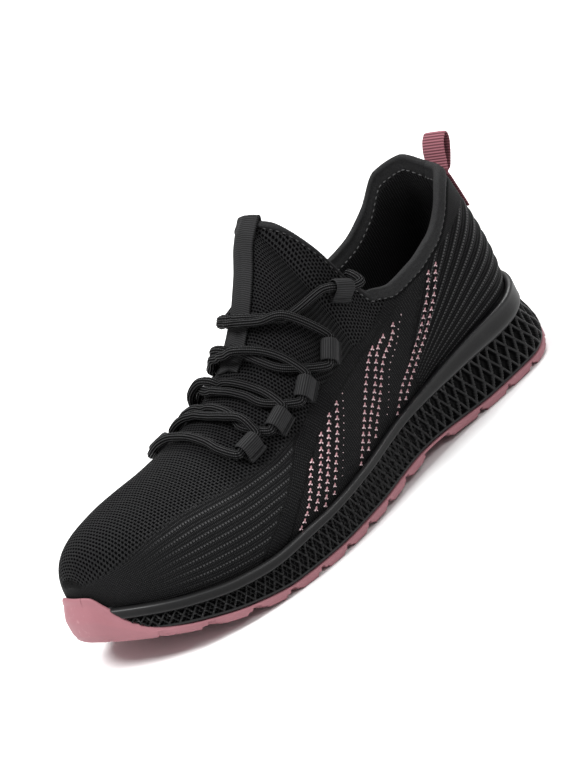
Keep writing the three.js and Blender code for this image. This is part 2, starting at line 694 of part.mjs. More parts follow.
function makeMidsole(form) {
  const columns = LATTICE_CELLS;
  const halfSteps = 2 * columns;
  // Cells are wider at the heel than at the toe.
  const share = (s) => s * (1.2 - 0.2 * s);
  const base = (along) => groundAt(along) + stripTop + GAP;
  const bandFoot = (along) => rimAt(along) - bandAt(along);
  const lean = (along, z) => {
    const low = base(along);
    return -leanAt(along) * ease(low + 4, bandFoot(along), z);
  };
  const rings = [];
  const add = (outAt, heightAt) => rings.push(soleRing(halfSteps, outAt, heightAt, share));
  add(() => -0.8, base);
  add(() => 0, (along) => base(along) + 0.8);
  const latticeRows = 2 * LATTICE_ROWS;
  for (let j = 0; j <= latticeRows; j += 1) {
    const height = (along) => mix(base(along) + 1.2, bandFoot(along) - 1.2, j / latticeRows);
    const points = soleRing(halfSteps, (along) => lean(along, height(along)), height, share);
    const hollow = j > 0 && j < latticeRows;
    rings.push(
      points.map((p, i) => {
        if (!hollow || (i + j) % 2 === 0) return p;
        const side = i <= halfSteps ? 1 : -1;
        const around = share((i <= halfSteps ? i : 2 * halfSteps - i) / halfSteps);
        const depth = LATTICE_DEPTH * mix(0.6, 1, ease(0.6, 0.15, alongOf(p.y)));
        return p.clone().addScaledVector(outlineAt(side, around).out, -depth);
      }),
    );
  }
  add((along) => BAND_STEP - leanAt(along), (along) => bandFoot(along) - 0.2);
  add((along) => BAND_STEP - leanAt(along), (along) => rimAt(along) - 1.2);
  add((along) => -leanAt(along), rimAt);

  const faces = [];
  capAcross(faces, rings[0], true);
  const firstLattice = 2;
  rings.forEach((lower, j) => {
    const upper = rings[j + 1];
    if (!upper) return;
    const inLattice = j >= firstLattice && j < firstLattice + latticeRows;
    lower.forEach((p, i) => {
      const k = (i + 1) % lower.length;
      const quad = [lower[i], upper[i], upper[k], lower[k]];
      // Each face is split along its rib, between the two raised corners.
      const turned = inLattice && (i + j - firstLattice) % 2 === 1;
      addQuad(faces, turned ? [quad[1], quad[2], quad[3], quad[0]] : quad);
    });
  });
  capAcross(faces, rings[rings.length - 1]);
  return solidFrom(faces).subtract(bumperForm(GAP, CUT_REACH)).subtract(form);
}

function makeInsole() {
  const columns = 24;
  const inset = (along) => leanAt(along) + RIM_WALL + GAP + UPPER_WALL + 2 * GAP;
  const at = (extra, lift) =>
    soleRing(columns, (along) => extra - inset(along), (along) => footbedAt(along) + GAP + lift);
  return stack([at(0, 0), at(0, INSOLE_THICKNESS - 1), at(-1, INSOLE_THICKNESS)]);
}

// A shape drawn in the plane of Y and Z, made as wide as given and centred on x.
function acrossShoe(shape, width, x) {
  const geometry = new THREE.ExtrudeGeometry(shape, { depth: width, bevelEnabled: false });
  geometry.translate(0, 0, -width / 2);
  geometry.applyMatrix4(new THREE.Matrix4().makeBasis(
    new THREE.Vector3(0, 1, 0),
    new THREE.Vector3(0, 0, 1),
    new THREE.Vector3(1, 0, 0),
  ));
  return geometry.translate(x, 0, 0);
}

// A solid between two grids of points: the faces look outwards when over lies above under.
function sheetBetween(under, over) {
  const faces = [];
  const last = under.length - 1;
  const edge = under[0].length - 1;
  for (let j = 0; j < last; j += 1) {
    for (let i = 0; i < edge; i += 1) {
      addQuad(faces, [over[j][i], over[j][i + 1], over[j + 1][i + 1], over[j + 1][i]]);
      addQuad(faces, [under[j][i], under[j + 1][i], under[j + 1][i + 1], under[j][i + 1]]);
    }
    addQuad(faces, [under[j][0], over[j][0], over[j + 1][0], under[j + 1][0]]);
    addQuad(faces, [under[j][edge], under[j + 1][edge], over[j + 1][edge], over[j][edge]]);
  }
  for (let i = 0; i < edge; i += 1) {
    addQuad(faces, [under[0][i], under[0][i + 1], over[0][i + 1], over[0][i]]);
    addQuad(faces, [under[last][i], over[last][i], over[last][i + 1], under[last][i + 1]]);
  }
  return solidFrom(faces);
}

// The value between two ends at which a rising function reaches the goal.
function solve(low, high, goal, valueAt) {
  let from = low;
  let to = high;
  for (let n = 0; n < 30; n += 1) {
    const middle = (from + to) / 2;
    if (valueAt(middle) < goal) from = middle;
    else to = middle;
  }
  return (from + to) / 2;
}

// A place on the upper beside the ridge, off being its distance from the ridge towards the outer side.
function besideRidge(around, off) {
  const side = off < 0 ? -1 : 1;
  const ridge = upperAt(side, around, 1);
  if (off === 0) {
    const normal = upperNormal(1, around, 1).add(upperNormal(-1, around, 1)).normalize();
    return { point: ridge, normal };
  }
  const up = solve(0.5, 1, -Math.abs(off), (u) => -Math.abs(upperAt(side, around, u).x - ridge.x));
  return { point: upperAt(side, around, up), normal: upperNormal(side, around, up) };
}

// A place on the tongue's top edge at a distance from its middle.
function onTongueEdge(off) {
  const side = off < 0 ? -1 : 1;
  const middle = upperAt(side, TONGUE_AROUND, 1).x;
  const inward = (a) => -Math.abs(upperAt(side, a, 1).x - middle);
  const around = solve(NOTCH_AROUND, TONGUE_AROUND, -Math.abs(off), inward);
  const point = upperAt(side, around, 1);
  const normal = besideRidge(TONGUE_AROUND + 0.01, off).normal;
  return { point, normal };
}

const TAB_LIFT = 4 * GAP;

// Webbing folded over the tongue's top edge: a short end inside, a long end down the ridge.
function makeTongueTab() {
  const offsets = [0.5, 0.25, 0, -0.25, -0.5].map((share) => share * TAB_WIDTH);
  const top = upperAt(1, TONGUE_AROUND, 1);
  const below = upperAt(1, TONGUE_AROUND + 0.02, 1);
  const slope = top.clone().sub(below).normalize();
  const under = [];
  const over = [];
  const addRow = (places, back, off, thicken) => {
    const base = places.map(({ point, normal }) =>
      point.clone().addScaledVector(slope, back).addScaledVector(normal, off),
    );
    under.push(base);
    over.push(base.map((p, i) => p.clone().addScaledVector(thicken(places[i]), WEBBING)));
  };
  const edge = offsets.map(onTongueEdge);
  const inside = -UPPER_WALL - TAB_LIFT;
  const inwards = ({ normal }) => normal.clone().negate();
  const outwards = ({ normal }) => normal;
  addRow(edge, -9, inside, inwards);
  addRow(edge, -1, inside, inwards);
  addRow(edge, 1.4, inside + 0.3, (place) => slope.clone().sub(place.normal).normalize());
  addRow(edge, 1.9, -0.5 * UPPER_WALL, () => slope);
  addRow(edge, 1.4, TAB_LIFT, (place) => slope.clone().add(place.normal).normalize());
  const rows = 8;
  for (let j = 1; j <= rows; j += 1) {
    const around = TONGUE_AROUND + (TAB_AROUND * j) / rows;
    addRow(offsets.map((off) => besideRidge(around, off)), 0, TAB_LIFT, outwards);
  }
  return geometryOf(sheetBetween(under, over));
}

function makePullLoop() {
  // The strap climbs the back of the heel, leaves it near the collar and folds over into a flat loop.
  const count = 5;
  const back = [];
  const topUp = 0.86;
  const height = COLLAR_HEIGHT - rimAt(0);
  for (let i = 0; i <= count; i += 1) {
    const up = mix(topUp - PULL_TAIL / height, topUp, i / count);
    const p = upperAt(1, 0, up);
    back.push(new THREE.Vector2(p.y + GAP, p.z));
  }
  const root = back[back.length - 1];
  const lean = new THREE.Vector2(PULL_LEAN, 1).normalize();
  const side = new THREE.Vector2(lean.y, -lean.x);
  const at = (rise, off) => root.clone().addScaledVector(lean, rise).addScaledVector(side, off);
  const bow = PULL_WEBBING * 1.2;
  const outer = [
    ...back,
    at(PULL_RISE * 0.2, 0.2),
    at(PULL_RISE * 0.6, -bow * 0.6),
    at(PULL_RISE * 0.9, -bow * 0.6),
    at(PULL_RISE, 0.6),
    at(PULL_RISE * 0.99, 2.6),
    at(PULL_RISE * 0.86, 3.9),
    at(PULL_RISE * 0.5, 3.6),
    at(PULL_RISE * 0.2, 3.2),
  ];
  for (const p of back.slice(0, -1).reverse()) outer.push(new THREE.Vector2(p.x + PULL_WEBBING, p.y));
  const shape = new THREE.Shape(outer);
  const hole = [
    at(PULL_RISE * 0.3, 1.75),
    at(PULL_RISE * 0.6, 0.2),
    at(PULL_RISE * 0.88, 0.3),
    at(PULL_RISE * 0.9, 1.8),
    at(PULL_RISE * 0.84, 2.5),
    at(PULL_RISE * 0.5, 2.2),
  ];
  shape.holes.push(new THREE.Path(hole.reverse()));
  return acrossShoe(shape, PULL_WIDTH, upperAt(1, 0, topUp).x);
}

const LACE_RADIUS = LACE_DIAMETER / 2;
const LOOP_BORE = LACE_RADIUS + 0.7;
const LOOP_LIFT = LOOP_BORE + WEBBING + GAP;

// Frame of a loop: its centre, the upper's normal there, the way to the ankle and the way out from the
// throat.
function loopFrame(side, index) {
  const { around, up, turn } = LACE_LOOPS[index];
  const point = upperAt(side, around, up);
  const normal = upperNormal(side, around, up);
  const ankle = upperAt(side, around - 0.02, up).sub(upperAt(side, around + 0.02, up));
  ankle.addScaledVector(normal, -ankle.dot(normal)).normalize().applyAxisAngle(normal, side * turn);
  const outward = ankle.clone().cross(normal).multiplyScalar(side).normalize();
  return { normal, ankle, outward, centre: point.addScaledVector(normal, LOOP_LIFT) };
}

// A folded strip of webbing: a ring round the lace and a flat tail that runs away from the throat.
function makeLaceLoop(side, index) {
  const { normal, outward, centre } = loopFrame(side, index);
  const outer = LOOP_BORE + WEBBING;
  const shape = new THREE.Shape();
  shape.moveTo(0, -outer);
  shape.lineTo(LOOP_TAIL, -outer + 0.4);
  shape.lineTo(LOOP_TAIL, -outer + 0.4 + 1.7 * WEBBING);
  shape.lineTo(outer * 0.8, outer * 0.6);
  shape.absarc(0, 0, outer, Math.atan2(0.6, 0.8), 1.5 * Math.PI, false);
  const hole = new THREE.Path();
  hole.absarc(0, 0, LOOP_BORE, 0, 2 * Math.PI, true);
  shape.holes.push(hole);
  const settings = { depth: LOOP_WIDTH, bevelEnabled: false, curveSegments: 7 };
  const geometry = new THREE.ExtrudeGeometry(shape, settings);
  geometry.translate(0, 0, -LOOP_WIDTH / 2);
  const basis = new THREE.Matrix4().makeBasis(outward, normal, outward.clone().cross(normal));
  geometry.applyMatrix4(basis);
  return geometry.translate(centre.x, centre.y, centre.z);
}

const SEAT_STEP = 0.03;

// Finds the place on the upper at a distance x across and a level in a leaning plane, from a place near it.
// The plane holds the x axis and leans so that it moves by lean along the shoe for each step up.
function seatOnUpper(side, x, level, lean, near) {
  let { around, up } = near;
  const step = 1e-3;
  const read = (a, u) => {
    const p = upperAt(side, a, u);
    return { x: p.x, level: p.y - lean * p.z };
  };
  for (let n = 0; n < 25; n += 1) {
    const p = read(around, up);
    const pa = read(around + step, up);
    const pu = read(around, up + step);
    const ax = (pa.x - p.x) / step;
    const al = (pa.level - p.level) / step;
    const ux = (pu.x - p.x) / step;
    const ul = (pu.level - p.level) / step;
    const det = ax * ul - al * ux;
    const move = ((x - p.x) * ul - (level - p.level) * ux) / det;
    const climb = (ax * (level - p.level) - al * (x - p.x)) / det;
    around += THREE.MathUtils.clamp(move, -SEAT_STEP, SEAT_STEP);
    up = THREE.MathUtils.clamp(up + THREE.MathUtils.clamp(climb, -SEAT_STEP, SEAT_STEP), SEAT_STEP, 1);
  }
  return { around, up };
}

// Points of a lace over the throat, pulled tight in a plane from the loops to a point of the ridge.
function overThroat(place, ridge, shiftAt, liftAt) {
  const top = upperAt(1, ridge, 1);
  const lay = (side, shares) => {
    const foot = upperAt(side, place.around, place.up);
    const lean = (top.y - foot.y) / (top.z - foot.z);
    const level = foot.y - lean * foot.z;
    let near = place;
    return shares.map((climb) => {
      const s = side > 0 ? climb / 2 : 1 - climb / 2;
      const onSide = climb < 1;
      const x = mix(foot.x, top.x, climb);
      near = onSide ? seatOnUpper(side, x, level + shiftAt(s), lean, near) : { around: ridge, up: 1 };
      const normal = upperNormal(side, near.around, near.up);
      const clear = LACE_RADIUS + 3 * GAP + (TAB_LIFT + WEBBING + GAP) * ease(0.4, 0.7, climb);
      if (climb === 1) normal.add(upperNormal(-side, ridge, 1)).normalize();
      const point = upperAt(side, near.around, near.up).addScaledVector(normal, clear + liftAt(s));
      if (climb === 1) point.y += shiftAt(s);
      return point;
    });
  };
  return [...lay(1, [...LACE_CLIMBS, 1]), ...lay(-1, LACE_CLIMBS).reverse()];
}

const LACE_CLIMBS = [0.22, 0.44, 0.7, 0.86];
const LACE_LOW = 0.68;
const CORD_BESIDE = 0.58 * LACE_DIAMETER;
const LACE_LEAD = 1.2;
const END_BOW = 3.8;

// Where a cord leaves a loop, on its ankle side (1) or its toe side (-1), from just inside its bore.
function loopMouth(side, index, towardsAnkle) {
  const { centre, ankle } = loopFrame(side, index);
  const inside = centre.clone().addScaledVector(ankle, -0.5 * towardsAnkle);
  const mouth = centre.clone().addScaledVector(ankle, (LOOP_WIDTH / 2 + 0.4) * towardsAnkle);
  const lead = mouth.clone().addScaledVector(ankle, LACE_LEAD * towardsAnkle);
  return [inside, mouth, lead];
}

// One cord of a crossing. It leaves the loop on the outer side, runs beside its pair and changes place
// with it.
function cordPath(row, over) {
  const { upper, lower, ridge, cross, reach } = LACE_ROWS[row];
  const start = over ? loopMouth(1, lower, 1) : loopMouth(1, upper, -1);
  const finish = over ? loopMouth(-1, upper, -1) : loopMouth(-1, lower, 1);
  const middle = {
    around: mix(LACE_LOOPS[upper].around, LACE_LOOPS[lower].around, LACE_LOW),
    up: mix(LACE_LOOPS[upper].up, LACE_LOOPS[lower].up, LACE_LOW),
  };
  const path = [...start];
  const swapped = (s) => ease(cross - 0.13, cross + 0.13, s);
  const shiftAt = (s) => mix(-CORD_BESIDE, CORD_BESIDE, swapped(s)) * (over ? -1 : 1);
  const liftAt = (s) => (over ? 1.15 * LACE_DIAMETER * Math.exp(-(((s - cross) / 0.13) ** 2)) : 0);
  const touch = (side) => {
    const around = mix(LACE_LOOPS[upper].around, middle.around, reach);
    const up = mix(LACE_LOOPS[upper].up, middle.up, reach);
    return upperAt(side, around, up).addScaledVector(upperNormal(side, around, up), LACE_RADIUS + 5 * GAP);
  };
  if (reach > 0 && !over) path.push(touch(1));
  path.push(...overThroat(middle, ridge, shiftAt, liftAt));
  if (reach > 0 && over) path.push(touch(-1));
  path.push(...finish.reverse());
  return path;
}

// The last cord joins the lowest two loops straight across the toe side of the throat.
function barPath() {
  const last = LACE_LOOPS.length - 1;
  const start = loopMouth(1, last, -1);
  const finish = loopMouth(-1, last, -1);
  const place = { around: LACE_LOOPS[last].around + 0.03, up: LACE_LOOPS[last].up };
  const path = [...start];
  path.push(...overThroat(place, LACE_BAR_RIDGE, () => 0, () => 0));
  path.push(...finish.reverse());
  return path;
}

// Each end leaves the top loop, bends over the edge of the tongue and stops just inside the shoe.
function endPath(side) {
  const edge = upperAt(side, NOTCH_AROUND, 1);
  const rise = edge.clone().sub(upperAt(side, NOTCH_AROUND, 0.9)).normalize();
  const normal = upperNormal(side, NOTCH_AROUND, 0.98);
  const clear = LACE_RADIUS + 3 * GAP;
  const wall = wallAt(NOTCH_AROUND, 1);
  const at = (off, back) => edge.clone().addScaledVector(normal, off).addScaledVector(rise, back);
  const outside = at(clear + 2, 2.2);
  const over = at(-0.5 * wall, clear + END_BOW);
  const across = at(-wall - clear, 0.6 * clear);
  const down = at(-wall - clear - 1.6, -LACE_DIAMETER);
  return [...loopMouth(side, 0, 1), outside, over, across, down];
}

function cordSolid(path, steps) {
  const section = new THREE.Shape();
  section.absarc(0, 0, LACE_RADIUS, 0, 2 * Math.PI, false);
  const curve = new THREE.CatmullRomCurve3(path, false, "centripetal");
  const geometry = new THREE.ExtrudeGeometry(section, {
    steps,
    extrudePath: curve,
    bevelEnabled: false,
    curveSegments: 4,
  });
  return solidOfGeometry(geometry);
}

function makeLace() {
  const cords = [];
  LACE_ROWS.forEach((row, index) => {
    cords.push(cordSolid(cordPath(index, true), 16), cordSolid(cordPath(index, false), 16));
  });
  cords.push(cordSolid(barPath(), 12), cordSolid(endPath(1), 9), cordSolid(endPath(-1), 9));
  return wasm.Manifold.union(cords);
}

// Colours are linear values of the finished pieces.
const finish = (color, roughness, metalness = 0) =>
  new THREE.MeshStandardMaterial({ color, roughness, metalness });
const PINK_RUBBER = finish(0xc4838c, 0.7);
const BLACK_FOAM = finish(0x1c1c1d, 0.6);
const BLACK_KNIT = finish(0x141415, 0.9);
const PINK_WEBBING = finish(0xb8707a, 0.85);
const BLACK_WEBBING = finish(0x202021, 0.85);
const BLACK_CORD = finish(0x262627, 0.85);

function named(name, geometry, material) {
  const mesh = new THREE.Mesh(geometry, material);
  mesh.name = name;
  return mesh;
}

const shoe = new THREE.Group();
const form = upperForm();
shoe.add(named("outsole", geometryOf(makeOutsole(form)), PINK_RUBBER));
shoe.add(named("midsole", geometryOf(makeMidsole(form)), BLACK_FOAM));
shoe.add(named("upper", geometryOf(makeUpper()), BLACK_KNIT));
shoe.add(named("insole", geometryOf(makeInsole()), BLACK_KNIT));
shoe.add(named("tongue_tab", makeTongueTab(), BLACK_WEBBING));
shoe.add(named("heel_pull_loop", makePullLoop(), PINK_WEBBING));
LACE_LOOPS.forEach((row, index) => {
  shoe.add(named(`lace_loop_outer_${index + 1}`, makeLaceLoop(1, index), BLACK_WEBBING));
  shoe.add(named(`lace_loop_inner_${index + 1}`, makeLaceLoop(-1, index), BLACK_WEBBING));
});
shoe.add(named("lace", geometryOf(makeLace()), BLACK_CORD));

// The origin is on the floor, under the middle of the shoe's box.
const box = new THREE.Box3().setFromObject(shoe);
const centre = box.getCenter(new THREE.Vector3());
shoe.position.set(-centre.x, -centre.y, -box.min.z);

export default shoe;
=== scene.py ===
import math
from collections import namedtuple

import bpy
import numpy as np
from mathutils import Matrix, Vector


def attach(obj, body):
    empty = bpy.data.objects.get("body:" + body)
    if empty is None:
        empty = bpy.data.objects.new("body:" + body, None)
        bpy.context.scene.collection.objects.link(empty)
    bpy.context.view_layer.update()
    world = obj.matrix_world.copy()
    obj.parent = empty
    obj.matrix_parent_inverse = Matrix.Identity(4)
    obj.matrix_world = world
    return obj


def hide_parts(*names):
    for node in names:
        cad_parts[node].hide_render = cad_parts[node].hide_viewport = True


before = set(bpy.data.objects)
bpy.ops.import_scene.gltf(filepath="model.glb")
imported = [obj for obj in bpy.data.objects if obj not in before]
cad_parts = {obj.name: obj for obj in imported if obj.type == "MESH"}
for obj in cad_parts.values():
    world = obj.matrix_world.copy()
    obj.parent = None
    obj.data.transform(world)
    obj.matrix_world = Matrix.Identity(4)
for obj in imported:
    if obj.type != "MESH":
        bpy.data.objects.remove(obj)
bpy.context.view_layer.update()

# Sizes of the sole and the upper in millimetres, as the part's source names them
MM = 0.001
SHIFT = np.array([-0.4106, -0.6447, 0.0])
SOLE_LENGTH = 280.0
BALL_WIDTH = 104.0
HEEL_WIDTH = 72.0
HEEL_STACK = 33.0
FOREFOOT_STACK = 21.0
TOE_SPRING = 16.5
HEEL_BEVEL = 6.0
ARCH_RISE = 3.2
OUTSOLE_BASE = 2.2
LUG_DEPTH = 1.8
STRIP_TOP = OUTSOLE_BASE + LUG_DEPTH
CUP_DEPTH_SHARE = 0.42
RIM_WALL = 2.6
HEEL_LEAN = 3.6
FOREFOOT_LEAN = 1.8
BAND_STEP = 0.9
HEEL_BAND = 10.5
WAIST_BAND = 3.2
TOE_BAND = 4.4
BUMPER_TOP = 38.0
BUMPER_WALL = 2.6
COLLAR_HEIGHT = 103.0
COLLAR_WIDTH = 62.0
LATERAL_DIP = 6.5
TONGUE_TOP = 130.5
TOE_BOX_HEIGHT = 64.0
RIDGE_SHIFT = 8.0
UPPER_WALL = 2.0
COLLAR_PAD = 4.0
INSOLE_THICKNESS = 3.5
LACE_RADIUS = 2.0
LOOP_WIDTH = 10.0
WEBBING = 1.1
LOOP_TAIL = 6.5
TAB_WIDTH = 14.0
TAB_AROUND = 0.15
PULL_WIDTH = 15.0
PULL_WEBBING = 1.6
PULL_RISE = 19.0
PULL_TAIL = 22.0
PULL_LEAN = 0.55
OUTLINE_STEPS = 1200
GAP = 0.3
TAB_LIFT = 4 * GAP
TONGUE_AROUND = 0.435
NOTCH_AROUND = 0.353


class Table:
    """Rows of numbers read smoothly: a cubic through the rows that never overshoots them."""

    def __init__(self, columns, rows):
        self.names = columns.split()
        self.rows = np.array(rows, float)
        self.x = self.rows[:, 0]

    def at(self, name, where):
        x, y = self.x, self.rows[:, self.names.index(name)]
        step = np.diff(x)
        secant = np.diff(y) / step
        tangent = np.concatenate([secant[:1], np.zeros(len(x) - 2), secant[-1:]])
        before, after = secant[:-1], secant[1:]
        together = np.where(before + after == 0, 1, before + after)
        tangent[1:-1] = np.where(before * after <= 0, 0, 2 * before * after / together)
        v = np.clip(where, x[0], x[-1])
        i = np.clip(np.searchsorted(x, v, side="right") - 1, 0, len(x) - 2)
        w = (v - x[i]) / step[i]
        rise = y[i + 1] - y[i]
        m0, m1 = tangent[i] * step[i], tangent[i + 1] * step[i]
        return y[i] + w * (m0 + w * (3 * rise - 2 * m0 - m1 + w * (m0 + m1 - 2 * rise)))

    def total(self, where, **sizes):
        """The sum of some columns, each times its own size."""
        return sum(self.at(name, where) * size for name, size in sizes.items())


# Plan outline of the sole, from the back of the heel by the outer side to the toe and back
OUTLINE = Table("along heel ball", [
    (0, 0, 0), (0.021, 0.56, 0), (0.079, 0.92, 0), (0.18, 1.03, 0),
    (0.3, 0.7, 0.25), (0.43, 0.4, 0.53), (0.55, 0.1, 0.875), (0.667, 0, 1.01),
    (0.775, 0, 0.95), (0.875, 0, 0.75), (0.953, 0, 0.4), (1, 0, -0.2),
    (0.986, 0, -0.6), (0.92, 0, -0.87), (0.82, 0, -0.96), (0.715, 0, -0.99),
    (0.59, -0.1, -0.81), (0.446, -0.45, -0.41), (0.303, -0.75, -0.125), (0.171, -0.97, 0),
    (0.071, -0.86, 0), (0.021, -0.53, 0)])
# Heights of the sole from the heel (0) to the toe (1), as shares of the named sizes
PROFILE = Table("along bevel arch spring heel fore", [
    (0, 1, 0, 0, 1.17, 0), (0.05, 0.3, 0, 0, 1.09, 0), (0.1, 0, 0, 0, 1.035, 0),
    (0.22, 0, 0, 0, 0.975, 0), (0.4, 0, 1, 0, 0.5, 0.5), (0.55, 0, 0.35, 0, 0.12, 0.89),
    (0.68, 0, 0, 0, 0, 0.975), (0.76, 0, 0, 0, 0, 0.915), (0.84, 0, 0, 0.17, 0, 0.835),
    (0.91, 0, 0, 0.47, 0, 0.775), (0.96, 0, 0, 0.75, 0, 0.74), (1, 0, 0, 1, 0, 0.7)])
BAND = Table("along heel waist toe", [
    (0, 1, 0, 0), (0.12, 1, 0, 0), (0.25, 0.7, 0.2, 0), (0.42, 0.1, 0.85, 0),
    (0.6, 0, 1, 0), (0.85, 0, 0, 1), (1, 0, 0, 1)])
# Sections of the upper from the back of the heel round either side to the toe
SECTIONS = Table("around across shift along collar tongue toe dip rise bulge reach drop pad", [
    (0, 0, -0.5, 0.034, 0.965, 0, 0, 0, 0.34, 4.8, 0.38, 0.22, 1),
    (0.05, 0.38, -0.45, 0.051, 1.035, 0, 0, 1.15, 0.34, 4.6, 0.36, 0.22, 1),
    (0.1, 0.68, -0.3, 0.085, 1.01, 0, 0, 1.15, 0.35, 4.2, 0.24, 0.28, 1),
    (0.15, 0.87, -0.15, 0.127, 0.88, 0, 0, 0.4, 0.37, 3.4, 0.18, 0.32, 1),
    (0.2, 0.97, -0.05, 0.18, 0.795, 0, 0, 0.3, 0.4, 2.5, 0.1, 0.35, 1),
    (0.25, 1, 0, 0.235, 0.77, 0, 0, 0.53, 0.4, 2.0, 0.1, 0.35, 1),
    (0.3, 0.97, 0, 0.292, 0.768, 0, 0, 0.76, 0.4, 2.0, 0.1, 0.35, 0.8),
    (0.335, 0.91, 0, 0.331, 0.795, 0, 0, 0.64, 0.4, 2.0, 0.12, 0.33, 0.4),
    (0.36, 0.86, 0, 0.352, 0.62, 0.2, 0, 0.4, 0.4, 2.0, 0.2, 0.3, 0.2),
    (0.385, 0.73, 0, 0.376, 0.3, 0.598, 0, 0, 0.4, 2.0, 0.3, 0.25, 0.1),
    (0.41, 0.45, 0.05, 0.402, 0.1, 0.888, 0, 0, 0.38, 2.0, 0.42, 0.18, 0),
    (0.435, 0, 0.1, 0.417, 0, 1, 0, 0, 0.36, 2.0, 0.5, 0.1, 0),
    (0.48, 0, 0.2, 0.456, 0, 0.765, 0.208, 0, 0.36, 2.0, 0.5, 0.05, 0),
    (0.53, 0, 0.35, 0.504, 0, 0.44, 0.57, 0, 0.38, 2.0, 0.5, 0.03, 0),
    (0.58, 0, 0.5, 0.555, 0, 0.22, 0.796, 0, 0.42, 2.0, 0.5, 0.02, 0),
    (0.63, 0, 0.65, 0.608, 0, 0.1, 0.916, 0, 0.46, 2.0, 0.5, 0, 0),
    (0.68, 0, 0.75, 0.663, 0, 0.035, 0.988, 0, 0.5, 2.0, 0.52, 0, 0),
    (0.73, 0, 0.85, 0.718, 0, 0.012, 1, 0, 0.54, 2.2, 0.54, 0, 0),
    (0.78, 0, 0.92, 0.768, 0, 0, 1.01, 0, 0.6, 2.4, 0.56, 0, 0),
    (0.83, 0, 0.97, 0.808, 0, 0, 1.004, 0, 0.66, 2.6, 0.58, 0, 0),
    (0.88, 0, 1, 0.838, 0, 0, 0.989, 0, 0.7, 3.0, 0.6, 0, 0),
    (0.94, 0, 1, 0.86, 0, 0, 0.977, 0, 0.74, 3.6, 0.62, 0, 0),
    (1, 0, 1, 0.87, 0, 0, 0.97, 0, 0.74, 4.0, 0.62, 0, 0)])
# Height of the toe bumper round the toe on either side, and its face: share of the height, share of the wall
BUMPER = Table("around outer inner", [
    (0.85, 0, 0), (0.88, 0.02, 0.12), (0.91, 0.08, 0.5), (0.935, 0.22, 0.85),
    (0.965, 0.66, 1), (0.985, 0.96, 1), (1, 1, 1)])
BUMPER_FACE = Table("up out", [
    (0, 0.1), (0.14, 0.36), (0.42, 0.4), (0.66, -0.1), (0.86, -0.75), (1, -1.05)])
# Grooves of the tread as shares of the sole's length: place, width, and how far the middle is ahead
GROOVES = [
    (0.055, 0.008, -0.02), (0.125, 0.008, -0.02), (0.195, 0.008, -0.02), (0.27, 0.01, -0.02),
    (0.375, 0.07, 0.01), (0.46, 0.014, 0.03), (0.525, 0.01, 0.03), (0.585, 0.01, 0.03),
    (0.645, 0.01, 0.03), (0.705, 0.01, 0.03), (0.765, 0.012, 0.03), (0.825, 0.014, 0.03),
    (0.885, 0.01, 0.03), (0.94, 0.008, 0.02)]


def ease(start, end, at):
    t = np.clip((at - start) / (end - start), 0, 1)
    return t * t * (3 - 2 * t)


def mix(a, b, t):
    return a + (b - a) * t


def unit(v):
    return v / np.maximum(np.linalg.norm(v, axis=-1, keepdims=True), 1e-9)


def arc(points, axis=0):
    """Running length of a line or a grid of points along one axis."""
    step = np.linalg.norm(np.diff(points, axis=axis), axis=-1)
    first = np.zeros_like(np.take(step, [0], axis=axis))
    return np.concatenate([first, np.cumsum(step, axis=axis)], axis=axis)


def line_at(where, run, line):
    """Points of a line at running lengths."""
    return np.stack([np.interp(where, run, column) for column in line.T], -1)


def closed_curve(t):
    """Points of the sole's closed outline at shares of its control polygon."""
    rows = OUTLINE.rows
    plan = np.stack([(rows[:, 1] * HEEL_WIDTH + rows[:, 2] * BALL_WIDTH) / 2,
                     (0.5 - rows[:, 0]) * SOLE_LENGTH], 1)
    n = len(plan)
    p = (np.asarray(t) % 1.0) * n
    i = np.floor(p).astype(int) % n
    w = (p - np.floor(p))[:, None]
    a, b, c, d = (plan[(i + k) % n] for k in (-1, 0, 1, 2))
    t0, t1 = 0.5 * (c - a), 0.5 * (d - b)
    return b + w * (t0 + w * (-3 * b + 3 * c - 2 * t0 - t1 + w * (2 * b - 2 * c + t0 + t1)))


def half_outline(side):
    half = np.linspace(0, 0.5, OUTLINE_STEPS + 1)
    points = closed_curve(half if side > 0 else 1 - half)
    run = arc(points)
    tangent = np.gradient(points, axis=0)
    out = unit(np.stack([-tangent[:, 1], tangent[:, 0]], 1) * side)
    out[0], out[-1] = (0, 1), (0, -1)
    return points, run / run[-1], out, run[-1]


HALVES = {1: half_outline(1), -1: half_outline(-1)}


def outline(side, around):
    """Plan points of the sole's outline, and the level directions that point outwards there."""
    side, around = np.broadcast_arrays(side, np.asarray(around, float))
    point, out = np.zeros(around.shape + (2,)), np.zeros(around.shape + (2,))
    for s in (1, -1):
        chosen = side == s
        points, run, away, _ = HALVES[s]
        point[chosen] = line_at(around[chosen], run, points)
        out[chosen] = line_at(around[chosen], run, away)
    return point, unit(out)


def along_of(y):
    return 0.5 - y / SOLE_LENGTH


def ground_at(along):
    return PROFILE.total(along, bevel=HEEL_BEVEL, arch=ARCH_RISE, spring=TOE_SPRING)


def rim_at(along):
    return PROFILE.total(along, heel=HEEL_STACK, fore=FOREFOOT_STACK, spring=TOE_SPRING)


def band_at(along):
    return BAND.total(along, heel=HEEL_BAND, waist=WAIST_BAND, toe=TOE_BAND)


def footbed_at(along):
    return mix(rim_at(along), ground_at(along), CUP_DEPTH_SHARE)


def lean_at(along):
    return mix(HEEL_LEAN, FOREFOOT_LEAN, ease(0.15, 0.6, along))


